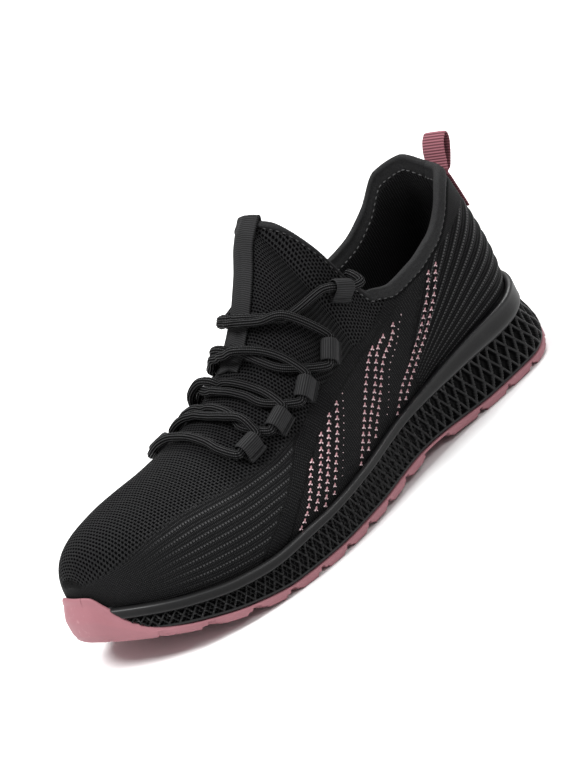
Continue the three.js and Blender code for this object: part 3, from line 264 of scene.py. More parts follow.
def section(side, around):
    """Four control points of the upper's section at a share around."""
    side, around = np.broadcast_arrays(side, np.asarray(around, float))

    def row(key):
        return SECTIONS.at(key, around)

    point, out = outline(side, around)
    along = along_of(point[..., 1])
    inset = lean_at(along) + RIM_WALL + GAP
    foot = np.concatenate([point - out * inset[..., None], rim_at(along)[..., None]], -1)
    height = SECTIONS.total(around, collar=COLLAR_HEIGHT, tongue=TONGUE_TOP, toe=TOE_BOX_HEIGHT)
    height = height - np.where(side > 0, row("dip") * LATERAL_DIP, 0)
    top = np.stack([side * row("across") * COLLAR_WIDTH / 2 - row("shift") * RIDGE_SHIFT,
                    (0.5 - row("along")) * SOLE_LENGTH, height], -1)
    rise = top[..., 2] - foot[..., 2]
    low = foot.copy()
    low[..., :2] += out * row("bulge")[..., None]
    low[..., 2] += row("rise") * rise
    high = top.copy()
    high[..., :2] += row("reach")[..., None] * (foot - top)[..., :2]
    high[..., 2] -= row("drop") * rise
    return foot, low, high, top


def upper_at(side, around, up):
    """Points of the upper's outer face: up is 0 at the rim of the sole and 1 at the top line."""
    a, b, c, d = section(side, around)
    t = np.asarray(up, float)[..., None]
    s = 1 - t
    return a * s**3 + 3 * b * s * s * t + 3 * c * s * t * t + d * t**3


def upper_normal(side, around, up):
    step = 0.004
    a = np.clip(around, step, 1 - step)
    u = np.clip(up, step, 1 - step)
    round_ = upper_at(side, a + step, u) - upper_at(side, a - step, u)
    rise = upper_at(side, a, u + step) - upper_at(side, a, u - step)
    return unit(np.cross(rise, round_) * np.asarray(side)[..., None])


def wall_at(around, up):
    pad = SECTIONS.at("pad", around) * COLLAR_PAD
    return UPPER_WALL + pad * ease(0.35, 0.8, up) * (1 - 0.45 * ease(0.9, 1, up))


# Meshes from grids of points

WELD = 1e-4
Patch = namedtuple("Patch", "points uv values flip")


def patch(points, uv=None, values=None, flip=False):
    """A grid of points (rows, columns, 3) with texture places and values per point."""
    return Patch(np.asarray(points, float), uv or {}, values or {}, flip)


def mesh_from(name, patches):
    """One object from patches of points in millimetres. Points that meet are welded."""
    points, quads, uvs, values = [], [], {}, {}
    keys = sorted({k for p in patches for k in p.uv})
    marks = sorted({k for p in patches for k in p.values})
    base = 0
    for p in patches:
        rows, columns = p.points.shape[:2]
        index = np.arange(rows * columns).reshape(rows, columns) + base
        corners = [index[:-1, :-1], index[1:, :-1], index[1:, 1:], index[:-1, 1:]]
        if p.flip:
            corners.reverse()
        quads.append(np.stack([c.ravel() for c in corners], 1))
        points.append(p.points.reshape(-1, 3))
        for k in keys:
            uvs.setdefault(k, []).append(p.uv.get(k, np.zeros((rows, columns, 2))).reshape(-1, 2))
        for k in marks:
            full = np.broadcast_to(p.values.get(k, 0.0), (rows, columns))
            values.setdefault(k, []).append(full.reshape(-1))
        base += rows * columns
    points, quads = np.concatenate(points), np.concatenate(quads)
    rounded = np.round(points / WELD).astype(np.int64)
    _, first, inverse = np.unique(rounded, axis=0, return_index=True, return_inverse=True)
    welded = inverse.reshape(-1)[quads]
    keep = welded != np.roll(welded, -1, axis=1)
    crossed = (welded[:, 0] == welded[:, 2]) | (welded[:, 1] == welded[:, 3])
    good = (keep.sum(1) >= 3) & ~crossed
    keep, welded, quads = keep[good], welded[good], quads[good]
    sides = keep.sum(1)
    corner_vertex, corner_source = welded[keep], quads[keep]
    mesh = bpy.data.meshes.new(name)
    mesh.vertices.add(len(first))
    mesh.vertices.foreach_set("co", ((points[first] + SHIFT) * MM).astype(np.float32).ravel())
    mesh.loops.add(len(corner_vertex))
    mesh.loops.foreach_set("vertex_index", corner_vertex.astype(np.int32))
    mesh.polygons.add(len(sides))
    mesh.polygons.foreach_set("loop_start", np.r_[0, np.cumsum(sides)[:-1]].astype(np.int32))
    mesh.polygons.foreach_set("use_smooth", np.ones(len(sides), bool))
    for k in keys:
        layer = mesh.uv_layers.new(name=k)
        layer.data.foreach_set("uv", np.concatenate(uvs[k])[corner_source].astype(np.float32).ravel())
    for k in marks:
        layer = mesh.attributes.new(k, "FLOAT", "POINT")
        layer.data.foreach_set("value", np.concatenate(values[k])[first].astype(np.float32))
    mesh.update(calc_edges=True)
    mesh.validate()
    obj = bpy.data.objects.new(name, mesh)
    bpy.context.scene.collection.objects.link(obj)
    return obj


def place(obj, material, slot, *nodes):
    """Gives a new piece its material, lets it ride on the shoe and stand for its CAD nodes."""
    obj.data.materials.append(material)
    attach(obj, "root")
    if nodes:
        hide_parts(*nodes)
    return obj


def grid_normals(points):
    """Unit normals of a grid whose rows go up and whose columns go clockwise."""
    return unit(np.cross(np.gradient(points, axis=0), np.gradient(points, axis=1)))


def both_sides(count):
    """Side and share around of open columns: outer side heel to toe, then inner side back."""
    share = np.linspace(0, 1, count)
    side = np.r_[np.ones(count), -np.ones(count)].astype(int)
    return side, np.r_[share, share[::-1]]


# Materials

class Value:
    """A shader value: adding, taking away, multiplying and dividing make math nodes."""

    def __init__(self, nodes, socket):
        self.nodes, self.socket = nodes, socket

    def __add__(self, other):
        return self.nodes.math("ADD", self, other)

    def __sub__(self, other):
        return self.nodes.math("SUBTRACT", self, other)

    def __rsub__(self, other):
        return self.nodes.math("SUBTRACT", other, self)

    def __mul__(self, other):
        return self.nodes.math("MULTIPLY", self, other)

    def __truediv__(self, other):
        return self.nodes.math("DIVIDE", self, other)


class Nodes:
    """Small helper that adds shader nodes and joins them."""

    def __init__(self, name):
        self.material = bpy.data.materials.new(name)
        self.material.use_nodes = True
        self.tree = self.material.node_tree
        self.tree.nodes.clear()
        output = self.tree.nodes.new("ShaderNodeOutputMaterial")
        self.shader = self.tree.nodes.new("ShaderNodeBsdfPrincipled")
        self.tree.links.new(self.shader.outputs[0], output.inputs[0])

    def add(self, kind, **settings):
        node = self.tree.nodes.new("ShaderNode" + kind)
        for name, value in settings.items():
            setattr(node, name, value)
        return node

    def join(self, value, socket):
        if isinstance(value, Value):
            self.tree.links.new(value.socket, socket)
        elif isinstance(value, tuple):
            socket.default_value = (*value, 1.0)
        else:
            socket.default_value = value

    def out(self, node, inputs, output=0):
        """Sets or joins the node's inputs, and gives one of its outputs."""
        for name, value in inputs.items():
            self.join(value, node.inputs[name])
        return Value(self, node.outputs[output])

    def math(self, operation, a, b=0.0):
        return self.out(self.add("Math", operation=operation), {0: a, 1: b})

    def step(self, value, start, end, low=0.0, high=1.0):
        """Smooth change from low to high as the value goes from start to end."""
        inputs = {"Value": value, "From Min": start, "From Max": end, "To Min": low, "To Max": high}
        return self.out(self.add("MapRange", interpolation_type="SMOOTHSTEP"), inputs)

    def uv(self, name):
        place = self.out(self.add("UVMap", uv_map=name), {})
        split = self.add("SeparateXYZ")
        return self.out(split, {0: place}), self.out(split, {}, 1)

    def attribute(self, name):
        return self.out(self.add("Attribute", attribute_name=name), {}, "Fac")

    def noise(self, scale, detail=2.0):
        place = self.out(self.add("TexCoord"), {}, "Object")
        return self.out(self.add("TexNoise"), {"Scale": scale, "Detail": detail, "Vector": place})

    def colour(self, low, high, share):
        return self.out(self.add("Mix", data_type="RGBA"), {0: share, 6: low, 7: high}, 2)

    def bump(self, height, distance, strength, before=None):
        inputs = {"Strength": strength, "Distance": distance, "Height": height}
        if before is not None:
            inputs["Normal"] = before
        return self.out(self.add("Bump"), inputs)

    def wave(self, value, pitch, shift=0.0):
        """A sine of the value from 0 to 1, with one crest for each pitch."""
        return self.math("SINE", value * (2 * math.pi / pitch) + shift) * 0.5 + 0.5

    def finish(self, colour, roughness, normal=None, specular=None):
        inputs = {"Base Color": colour, "Roughness": roughness, "Normal": normal,
                  "Specular IOR Level": specular}
        self.out(self.shader, {k: v for k, v in inputs.items() if v is not None})
        return self.material


MESH_ROW = 1.55
MESH_COLUMN = 1.9
RIB_PITCH = 4.0
PLAITS = 10
QUARTER = math.pi / 2
# Colours as dark and light ends; where a material mixes them by its relief, the dark end is painted shade and
# the light end a painted highlight
YARN = ((0.0015, 0.0015, 0.0017), (0.03, 0.03, 0.031))
LINING = ((0.004, 0.004, 0.004), (0.045, 0.045, 0.046))
FOAM = ((0.0015, 0.0015, 0.0017), (0.015, 0.015, 0.0155))
CORD = ((0.005, 0.005, 0.0052), (0.026, 0.026, 0.027))
BLACK_WEBBING = ((0.003, 0.003, 0.0032), (0.026, 0.026, 0.027))
PINK_WEBBING = ((0.09, 0.028, 0.036), (0.3, 0.115, 0.137))
PINK_DEEP = (0.22, 0.08, 0.095)
PINK = (0.3, 0.127, 0.146)
PINK_PALE = (0.55, 0.32, 0.345)
PALE_THREAD = ((0.5, 0.3, 0.32), (0.8, 0.66, 0.68))
GREY_THREAD = ((0.025, 0.025, 0.025), (0.09, 0.09, 0.09))


def knit_material():
    """Black knit in zones: open mesh, ribbed rows with dotted crests, and a smooth binding."""
    n = Nodes("black_knit")
    across, along = n.uv("cloth")
    line, beside = n.uv("rows")
    mesh, ribbed, binding, lit = (n.attribute(k) for k in ("mesh_zone", "rib_zone", "binding", "lit"))
    # open mesh: staggered holes between slanted yarns
    row = along / MESH_ROW
    column = across / MESH_COLUMN + n.math("FLOORED_MODULO", n.math("FLOOR", row), 2.0) * 0.5
    x = (n.math("FRACT", column) - 0.5) * MESH_COLUMN
    y = (n.math("FRACT", row) - 0.5) * (1.5 * MESH_ROW)
    slant = n.wave(n.math("PINGPONG", along, MESH_ROW) * 0.8 + across, MESH_COLUMN / 2)
    mesh_height = n.step(n.math("SQRT", x * x + y * y), 0.45, 0.9) * (slant * 0.35 + 0.65)
    # ribbed rows: fine lines with small stitches along them, every third one a dotted crest
    rows = n.wave(line, RIB_PITCH / 3)
    row_height = rows * n.wave(rows * 0.35 + beside, 0.8) * 0.45 + 0.3
    dots = n.step(n.wave(beside, 1.5), 0.2, 0.6)
    crests = n.step(n.wave(line, RIB_PITCH, QUARTER), 0.84, 0.97) * dots * ribbed
    height = n.math("MAXIMUM", mix(row_height, mesh_height, mesh), crests)
    height = mix(height, n.noise(2600.0, 3.0) * 0.5 + 0.3, binding)
    fibre = n.noise(900.0, 3.0)
    # Painted shade: the knit's colour follows its relief, darker in its holes and between its yarns; lit
    # scales each knit's tone and carries the painted shade of the heel's rib valleys
    shade = (n.step(height, 0.05, 0.95) * (fibre * 0.6 + 0.6) + crests) * lit
    return n.finish(n.colour(*YARN, shade), fibre * 0.2 + 0.6, n.bump(height, 0.0008, 1.0), shade * 0.35)


def lining_material():
    n = Nodes("black_lining")
    line, beside = n.uv("rows")
    height = n.wave(line, 1.3) * n.wave(beside, 1.1) * 0.7 + n.noise(1800.0) * 0.3
    # Painted shade: the lining's colour follows its relief, darker between its stitches
    return n.finish(n.colour(*LINING, height), 0.9, n.bump(height, 0.0004, 0.8), 0.15)


def foam_material():
    """Moulded satin foam with painted light: a painted highlight on its rounded edges, and the lattice's ribs
    lighter than its sunken cells, whose darkness is painted shade; the ribs are sharp over their relief.
    """
    n = Nodes("black_foam")
    patchy = n.noise(45.0, 3.0)
    phase, level = n.uv("cells")
    raised, lattice_zone, fine_zone = (n.attribute(k) for k in ("raised", "lattice", "fine"))

    def ribs(shift, half, soft):
        off = [n.math("PINGPONG", phase + level * slope + shift, 0.5) for slope in (0.5, -0.5)]
        return n.step(n.math("MINIMUM", *off), half + soft, half - soft)

    # painted shade and highlight: the ribs are lighter than the sunken cells; off the lattice the colour
    # takes the midsole's painted edge highlight
    rib = n.math("MAXIMUM", ribs(0.0, 0.12, 0.04), ribs(0.5, 0.06, 0.03) * fine_zone) * lattice_zone
    light = rib * 0.5 + raised * (1.0 - lattice_zone)
    normal = n.bump(n.noise(1500.0, 4.0), 0.00012, 0.5, n.bump(rib, 0.0006, 0.8))
    colour = n.colour(*FOAM, light * (patchy * 0.5 + 0.7))
    return n.finish(colour, patchy * 0.14 + 0.4, normal, light * 0.3 + 0.08)


def rubber_material():
    """Moulded rubber, a little uneven in colour, with a few paler rubbed places."""
    n = Nodes("pink_rubber")
    patchy = n.noise(60.0, 4.0)
    rubbed = n.step(n.noise(420.0, 5.0), 0.58, 0.75) * n.step(patchy, 0.45, 0.7)
    base = n.colour(PINK_DEEP, PINK, n.step(patchy, 0.1, 0.55, 0.55, 1.0))
    colour = n.colour(base, PINK_PALE, rubbed * 0.25)
    return n.finish(colour, patchy * 0.12 + 0.5, n.bump(n.noise(1300.0, 4.0), 0.00012, 0.4), 0.3)


def webbing_material(name, colours, pitch):
    """Grosgrain: ribs across the strip, crossed by the fine lines of its yarn."""
    n = Nodes(name)
    line, beside = n.uv("rows")
    rib = n.wave(line, pitch)
    yarn = n.wave(rib * 0.2 + beside, 0.42)
    height = rib * 0.6 + yarn * 0.25 + n.noise(2400.0, 3.0) * 0.15
    # Painted shade and highlight: the colour follows the relief, darker between the ribs and lighter on their
    # crests
    return n.finish(n.colour(*colours, n.step(height, 0.1, 0.9)), 0.72, n.bump(height, 0.00022, 0.8), 0.15)


def cord_material():
    """Round elastic cord: plaits that follow those of the mesh, with their single yarns."""
    n = Nodes("black_cord")
    along, turn = n.uv("rows")
    plait = n.wave(turn, 2 * math.pi / PLAITS, QUARTER)
    height = plait * (n.wave(plait * 0.5 + along, 0.8) * 0.5 + 0.5)
    # Painted highlight and shade: the plaits' crests are lighter and the grooves between them darker,
    # following the relief
    share = n.step(height, 0.25, 0.95) * (n.noise(2600.0) * 0.6 + 0.5)
    return n.finish(n.colour(*CORD, share), 0.6, n.bump(height, 0.0003, 0.9), share * 0.5)


def thread_material(name, dark, light):
    n = Nodes(name)
    fibre = n.noise(3000.0)
    return n.finish(n.colour(dark, light, n.step(fibre, 0.3, 0.7)), 0.6, n.bump(fibre, 0.0001, 0.5), 0.25)


# Outsole

SOLE_COLUMNS = 560
TREAD_ROWS = 64
BUMPER_COLUMNS = 150
ROLL_START = 0.84
TOP_DEPTH = 1.4
EDGE_CUT = 1.5
# Half the width of the tread: places along the sole and millimetres
TREAD_HALF = ([0, 0.3, 0.45, 0.7, 1.0], [30, 30, 32, 46, 30])
SLIT_AHEAD = 0.033
# How far the soft edge of a groove's nick lies beside the groove
NICK_EDGE = (1.8, 2.4)
# Section of the outsole's edge: how far outside the sole's outline, and the height above the ground
EDGE_FACE = [(-0.9, 0.0), (-0.45, 0.12), (-0.1, 0.45), (0.15, 0.95), (0.2, 1.6), (0.2, 2.6), (0.2, 3.3),
             (0.05, 3.75), (-0.3, STRIP_TOP)]


def ring(plan, out, away, height):
    """A row of points round the sole at a distance outside a plan line and at a height."""
    away, height = (np.broadcast_to(v, plan.shape[:1]) for v in (away, height))
    return np.concatenate([plan + out * away[:, None], height[:, None]], 1)


def across_patch(row, steps, height=None):
    """A surface across the sole from the outer half of a row of columns to its inner half."""
    count = row.shape[0] // 2
    outer, inner = row[:count], row[count:][::-1]
    points = mix(outer[None], inner[None], np.linspace(0, 1, steps)[:, None, None])
    if height is not None:
        inside = points[1:-1]
        inside[..., 2] = height(inside)
    return points


def tread_depth(x, y):
    """Depth of the tread at plan points: grooves across, a channel along, fine slits and side nicks."""
    depth = np.zeros_like(x)
    vee = 1 - np.abs(x) / (0.7 * BALL_WIDTH)
    along = along_of(y)
    half = np.interp(along, *TREAD_HALF)
    edge = ease(0.55, 0.95, np.abs(x) / half)
    for centre, wide, point in GROOVES:
        off = (np.abs(along - centre - point * vee) - wide / 2) * SOLE_LENGTH
        cut = 1 - ease(-0.35, 0.35, off)
        nick = 0.45 * edge * (1 - ease(*NICK_EDGE, off))
        slit = np.abs(along - centre - SLIT_AHEAD - point * vee) * SOLE_LENGTH
        fine = 0.5 * (1 - edge) * (1 - ease(0.4, 0.8, slit))
        depth = np.maximum.reduce([depth, cut, nick, fine])
    channel = (1 - ease(1.2, 1.8, np.abs(x + 3))) * ease(0.05, 0.08, along) * (1 - ease(0.9, 0.93, along))
    return LUG_DEPTH * np.maximum(depth, 0.75 * channel)


def tread_height(points):
    x, y = points[..., 0], points[..., 1]
    return ground_at(along_of(y)) + tread_depth(x, y)


def make_outsole(material):
    point, out = outline(*both_sides(SOLE_COLUMNS))
    ground = ground_at(along_of(point[:, 1]))
    cut = EDGE_CUT * tread_depth(point[:, 0], point[:, 1])
    lifts = [np.maximum(rise, np.minimum(cut + 0.35 * rise, STRIP_TOP)) for _, rise in EDGE_FACE]
    edge = np.array([ring(point, out, away, ground + lift) for (away, _), lift in zip(EDGE_FACE, lifts)])
    patches = [patch(edge), patch(across_patch(edge[0], TREAD_ROWS, tread_height), flip=True),
               patch(across_patch(edge[-1], 3)), patch(bumper_grid())]
    return place(mesh_from("outsole_rubber", patches), material, "pink_rubber", "outsole")


def bumper_edge(side, around, along):
    height = np.where(side > 0, BUMPER.at("outer", around), BUMPER.at("inner", around))
    return mix(ground_at(along) + STRIP_TOP, BUMPER_TOP, height), height


def bumper_grid():
    """The toe bumper: a closed skin round the toe with a rolled top edge."""
    half = np.linspace(BUMPER.x[0], 1, BUMPER_COLUMNS)
    share = np.r_[half, half[::-1][1:]]
    side = np.r_[np.ones(BUMPER_COLUMNS), -np.ones(BUMPER_COLUMNS - 1)].astype(int)
    point, out = outline(side, share)
    along = along_of(point[:, 1])
    edge, height = bumper_edge(side, share, along)
    bottom = ground_at(along) + LUG_DEPTH

    def face(up):
        return BUMPER_FACE.at("out", up) * BUMPER_WALL * height

    inside = -BUMPER_WALL - TOP_DEPTH
    middle, reach = (face(ROLL_START) + inside) / 2, (face(ROLL_START) - inside) / 2
    profile = [(face(up), up) for up in np.linspace(0, ROLL_START, 26)]
    profile += [(middle + reach * math.cos(t), ROLL_START + (1 - ROLL_START) * math.sin(t))
                for t in np.linspace(0, math.pi, 9)[1:-1]]
    profile += [(-BUMPER_WALL, 0.8), (-BUMPER_WALL, 0.5), (-BUMPER_WALL, 0.0), (face(0.0), 0.0)]
    return np.array([ring(point, out, away, mix(bottom, edge, up)) for away, up in profile])


# Midsole

LATTICE_STEPS = 40
HEEL_PITCH = 6.8
TOE_PITCH = 4.7
# Section of the midsole's foot: how far outside the outline, and the height above its underside
FOOT_FACE = [(-1.2, 0.0), (-0.5, 0.1), (-0.05, 0.5), (0.1, 1.0), (0.05, 1.4)]
# Section of the band: how far outside its face, the share of its height, and its painted highlight, strongest
# on its rounded edges
BAND_FACE = [(-0.8, 0.0, 0.4), (-0.225, 0.03, 0.8), (0.15, 0.09, 1.0), (0.12, 0.16, 0.6), (0.0, 0.3, 0.3),
             (0.0, 0.5, 0.25), (0.0, 0.7, 0.3), (0.0, 0.8, 0.5), (-0.1, 0.88, 0.9), (-0.35, 0.94, 1.0),
             (-0.8, 0.98, 0.9), (-1.4, 1.0, 0.7)]


def lattice(phase, level, fore):
    """Relief of the diamond lattice, 0 in a cell and 1 on a rib. fore is 0 at the heel, 1 at the forefoot."""
    def ribs(shift, half, soft):
        off = [np.abs((phase + slope * level + shift + 0.5) % 1.0 - 0.5) for slope in (0.5, -0.5)]
        return 1 - ease(half - soft, half + soft, np.minimum(*off))

    fine = ribs(0.5, 0.07, 0.04) * 0.5 * ease(0.75, 1.0, fore)
    return np.maximum(ribs(0.0, mix(0.15, 0.1, fore), 0.07), fine)


def lattice_phase(fore):
    """How many cells each column lies from the heel, with whole or half cells up to the toe on each side."""
    phase = []
    for s in (1, -1):
        cut = slice(None, SOLE_COLUMNS) if s > 0 else slice(-1, -SOLE_COLUMNS - 1, -1)
        cells = HALVES[s][3] / (SOLE_COLUMNS - 1) / mix(HEEL_PITCH, TOE_PITCH, fore[cut])
        run = np.r_[0, np.cumsum(cells)[:-1]]
        phase.append(s * (run * round(run[-1] * 2) / 2 / run[-1])[::s])
    return np.concatenate(phase)


def make_midsole(material):
    side, around = both_sides(SOLE_COLUMNS)
    point, out = outline(side, around)
    along = along_of(point[:, 1])
    base, rim = ground_at(along) + STRIP_TOP + GAP, rim_at(along)
    band_foot, lean_top = rim - band_at(along), -lean_at(along)
    fore = ease(0.12, 0.5, along)
    phase, levels = lattice_phase(fore), mix(3.0, 2.0, fore)
    edge, bumper = bumper_edge(side, around, along)
    behind = (bumper > 0.01) * (BUMPER_WALL + GAP)
    rows, raised, cells, inside = [], [], [], []

    # the third value of each row is painted light on the foam: a painted highlight on the rounded edges of
    # the foot and the band
    def add(away, z, painted_highlight_share, level=None):
        rows.append(ring(point, out, away - behind * ease(edge + 0.2, edge - 0.6, z), z))
        raised.append(np.full(around.shape, painted_highlight_share))
        inside.append(np.full(around.shape, 0.0 if level is None else 1.0))
        cells.append(np.stack([phase, np.zeros_like(phase) if level is None else level], -1))

    def lean(z):
        return lean_top * ease(base + 4, band_foot, z)

    for away, rise in FOOT_FACE:
        add(away + lean(base + rise), base + rise, 0.55)
    for share in np.linspace(0, 1, LATTICE_STEPS + 1):
        z = mix(base + 1.5, band_foot - 0.5, share)
        relief = lattice(phase, share * levels, fore)
        border = min(ease(0.0, 0.06, share), ease(1.0, 0.95, share))
        sunk = mix(2.8, 2.0, fore) * (1 - relief) * border
        knuckle = 0.35 * relief * border * (1 - fore)
        add(lean(z) - sunk + knuckle, z, 0.3, share * levels)
    for away, up, painted_highlight_share in BAND_FACE:
        add(lean_top + BAND_STEP + away + mix(0.1, 0.04, fore), mix(band_foot, rim, up), painted_highlight_share)
    add(lean_top - RIM_WALL + 0.6, rim + 0.05, 0.4)
    add(lean_top - RIM_WALL, rim - 0.6, 0.3)
    add(lean_top - RIM_WALL, footbed_at(along), 0.2)
    rows = np.array(rows)
    fine = np.broadcast_to(0.8 * ease(0.6, 1.0, fore), rows.shape[:2])
    values = {"raised": np.array(raised), "lattice": np.array(inside), "fine": fine}
    patches = [patch(rows, {"cells": np.array(cells)}, values), patch(across_patch(rows[0], 3), flip=True),
               patch(across_patch(rows[-1], 3))]
    return place(mesh_from("midsole_foam", patches), material, "black_foam", "midsole")


# Upper

UPPER_COLUMNS = 370
TONGUE_COLUMN_SHARE = 0.47
WALL_ROWS = 96
LINING_ROWS = 16
RIDGE_STEPS = 200
NOSE_STEPS = 40
EDGE_STEPS = 11
FAR = 99.0
BINDING = 4.6
TOE_RIBS = 9
# Fan of ribs at the heel: its centre in the side view and the angle from rib to rib
FAN = (25.3, 24.3)
FAN_STEP = 0.055
# Heights of the relief in millimetres, and how light each knit is
TOE_RELIEF = 0.25
HEEL_RELIEF = 0.38
STRIP_RELIEF = 0.35
RIB_WIDTH = 0.16
SEAM_DEPTH = 0.7
SEAM_WIDTH = 0.7
BEAD = 0.9
LIT_RIBS = 0.7
LIT_MESH = 0.44
LIT_BINDING = 0.75
# Curves of the side view as places along the shoe and heights, from the collar down to the rim
STRIP_FRONT = [(62, 75), (42, 66.5), (18, 64.5), (-8, 60.5), (-33.5, 50), (-50, 38.5), (-62, 32),
               (-74, 24.5), (-84.5, 16)]
STRIP_BACK = [(72, 69.5), (48, 63.5), (27, 60.5), (2.5, 55), (-17.5, 48.5), (-34, 41), (-54, 29),
              (-68.5, 18)]
VAMP_EDGE = Table("y z", [
    (-137, 42.5), (-124.5, 48), (-109, 52.5), (-97, 53.3), (-84, 52.3), (-68, 50.8), (-50, 50.4),
    (-35.5, 52), (-2, 63)])


def curve_distance(curve, y, z):
    """Signed distance to a curve of the side view, + above it, and the run to the nearest place."""
    rows = np.array(curve, float)
    best, sign, run = np.full(y.shape, 1e9), np.ones(y.shape), np.zeros(y.shape)
    start = 0.0
    for a, b in zip(rows[:-1], rows[1:]):
        d = b - a
        length = np.hypot(*d)
        t = np.clip(((y - a[0]) * d[0] + (z - a[1]) * d[1]) / length**2, 0, 1)
        off_y, off_z = y - a[0] - t * d[0], z - a[1] - t * d[1]
        off = np.hypot(off_y, off_z)
        nearer = off < best
        best = np.where(nearer, off, best)
        sign = np.where(nearer, np.sign(d[1] * off_y - d[0] * off_z), sign)
        run = np.where(nearer, start + t * length, run)
        start += length
    return best * sign, run


def columns_of_upper():
    """Shares around for the upper's columns, with one exactly at the top of the tongue."""
    first = round(UPPER_COLUMNS * TONGUE_COLUMN_SHARE)
    ridge = np.linspace(TONGUE_AROUND, 1, UPPER_COLUMNS - first + 1)[1:]
    share = np.r_[np.linspace(0, TONGUE_AROUND, first), ridge]
    return np.r_[share, share[::-1]], np.r_[np.ones(len(share)), -np.ones(len(share))].astype(int)


def upper_zones(y, z):
    """Which knit lies at places of the side view, as shares from 0 to 1, and the places in its zone."""
    front, run = curve_distance(STRIP_FRONT, y, z)
    back, _ = curve_distance(STRIP_BACK, y, z)
    before = ease(-1.0, 1.0, front)
    mesh = before * ease(-2.0, 2.0, np.where(y < -30, z - VAMP_EDGE.at("z", y), 5.0))
    strip = ease(1.0, -1.0, front) * ease(-1.0, 1.0, back)
    angle = np.arctan2(z - FAN[1], y - FAN[0])
    heel = ease(0.74, 0.68, angle) * ease(38.0, 50.0, y) * (1 - before) * (1 - strip)
    toe = before * (1 - mesh)
    return dict(front=front, run=run, mesh=mesh, strip=strip, toe=toe, angle=angle, heel=heel)


def cloth_places(points, side):
    """Texture places of the open knit: round the shoe from the ridge, and along the ridge."""
    x, y, z = (points[..., k] for k in range(3))
    ridge, nose = np.linspace(TONGUE_AROUND, 1, RIDGE_STEPS), np.linspace(1, 0, NOSE_STEPS)[1:]
    line = upper_at(1, np.r_[ridge, np.ones(len(nose))], np.r_[np.ones(len(ridge)), nose])
    line = line[np.argsort(line[:, 1])]
    near = line_at(y, line[:, 1], line)
    ahead = np.interp(y, line[:, 1], arc(line)) + np.maximum(y - line[-1, 1], 0)
    off_x = x - near[..., 0]
    girth = np.where(off_x == 0, side, np.sign(off_x)) * np.hypot(off_x, near[..., 2] - z)
    return np.stack([girth, ahead], -1)


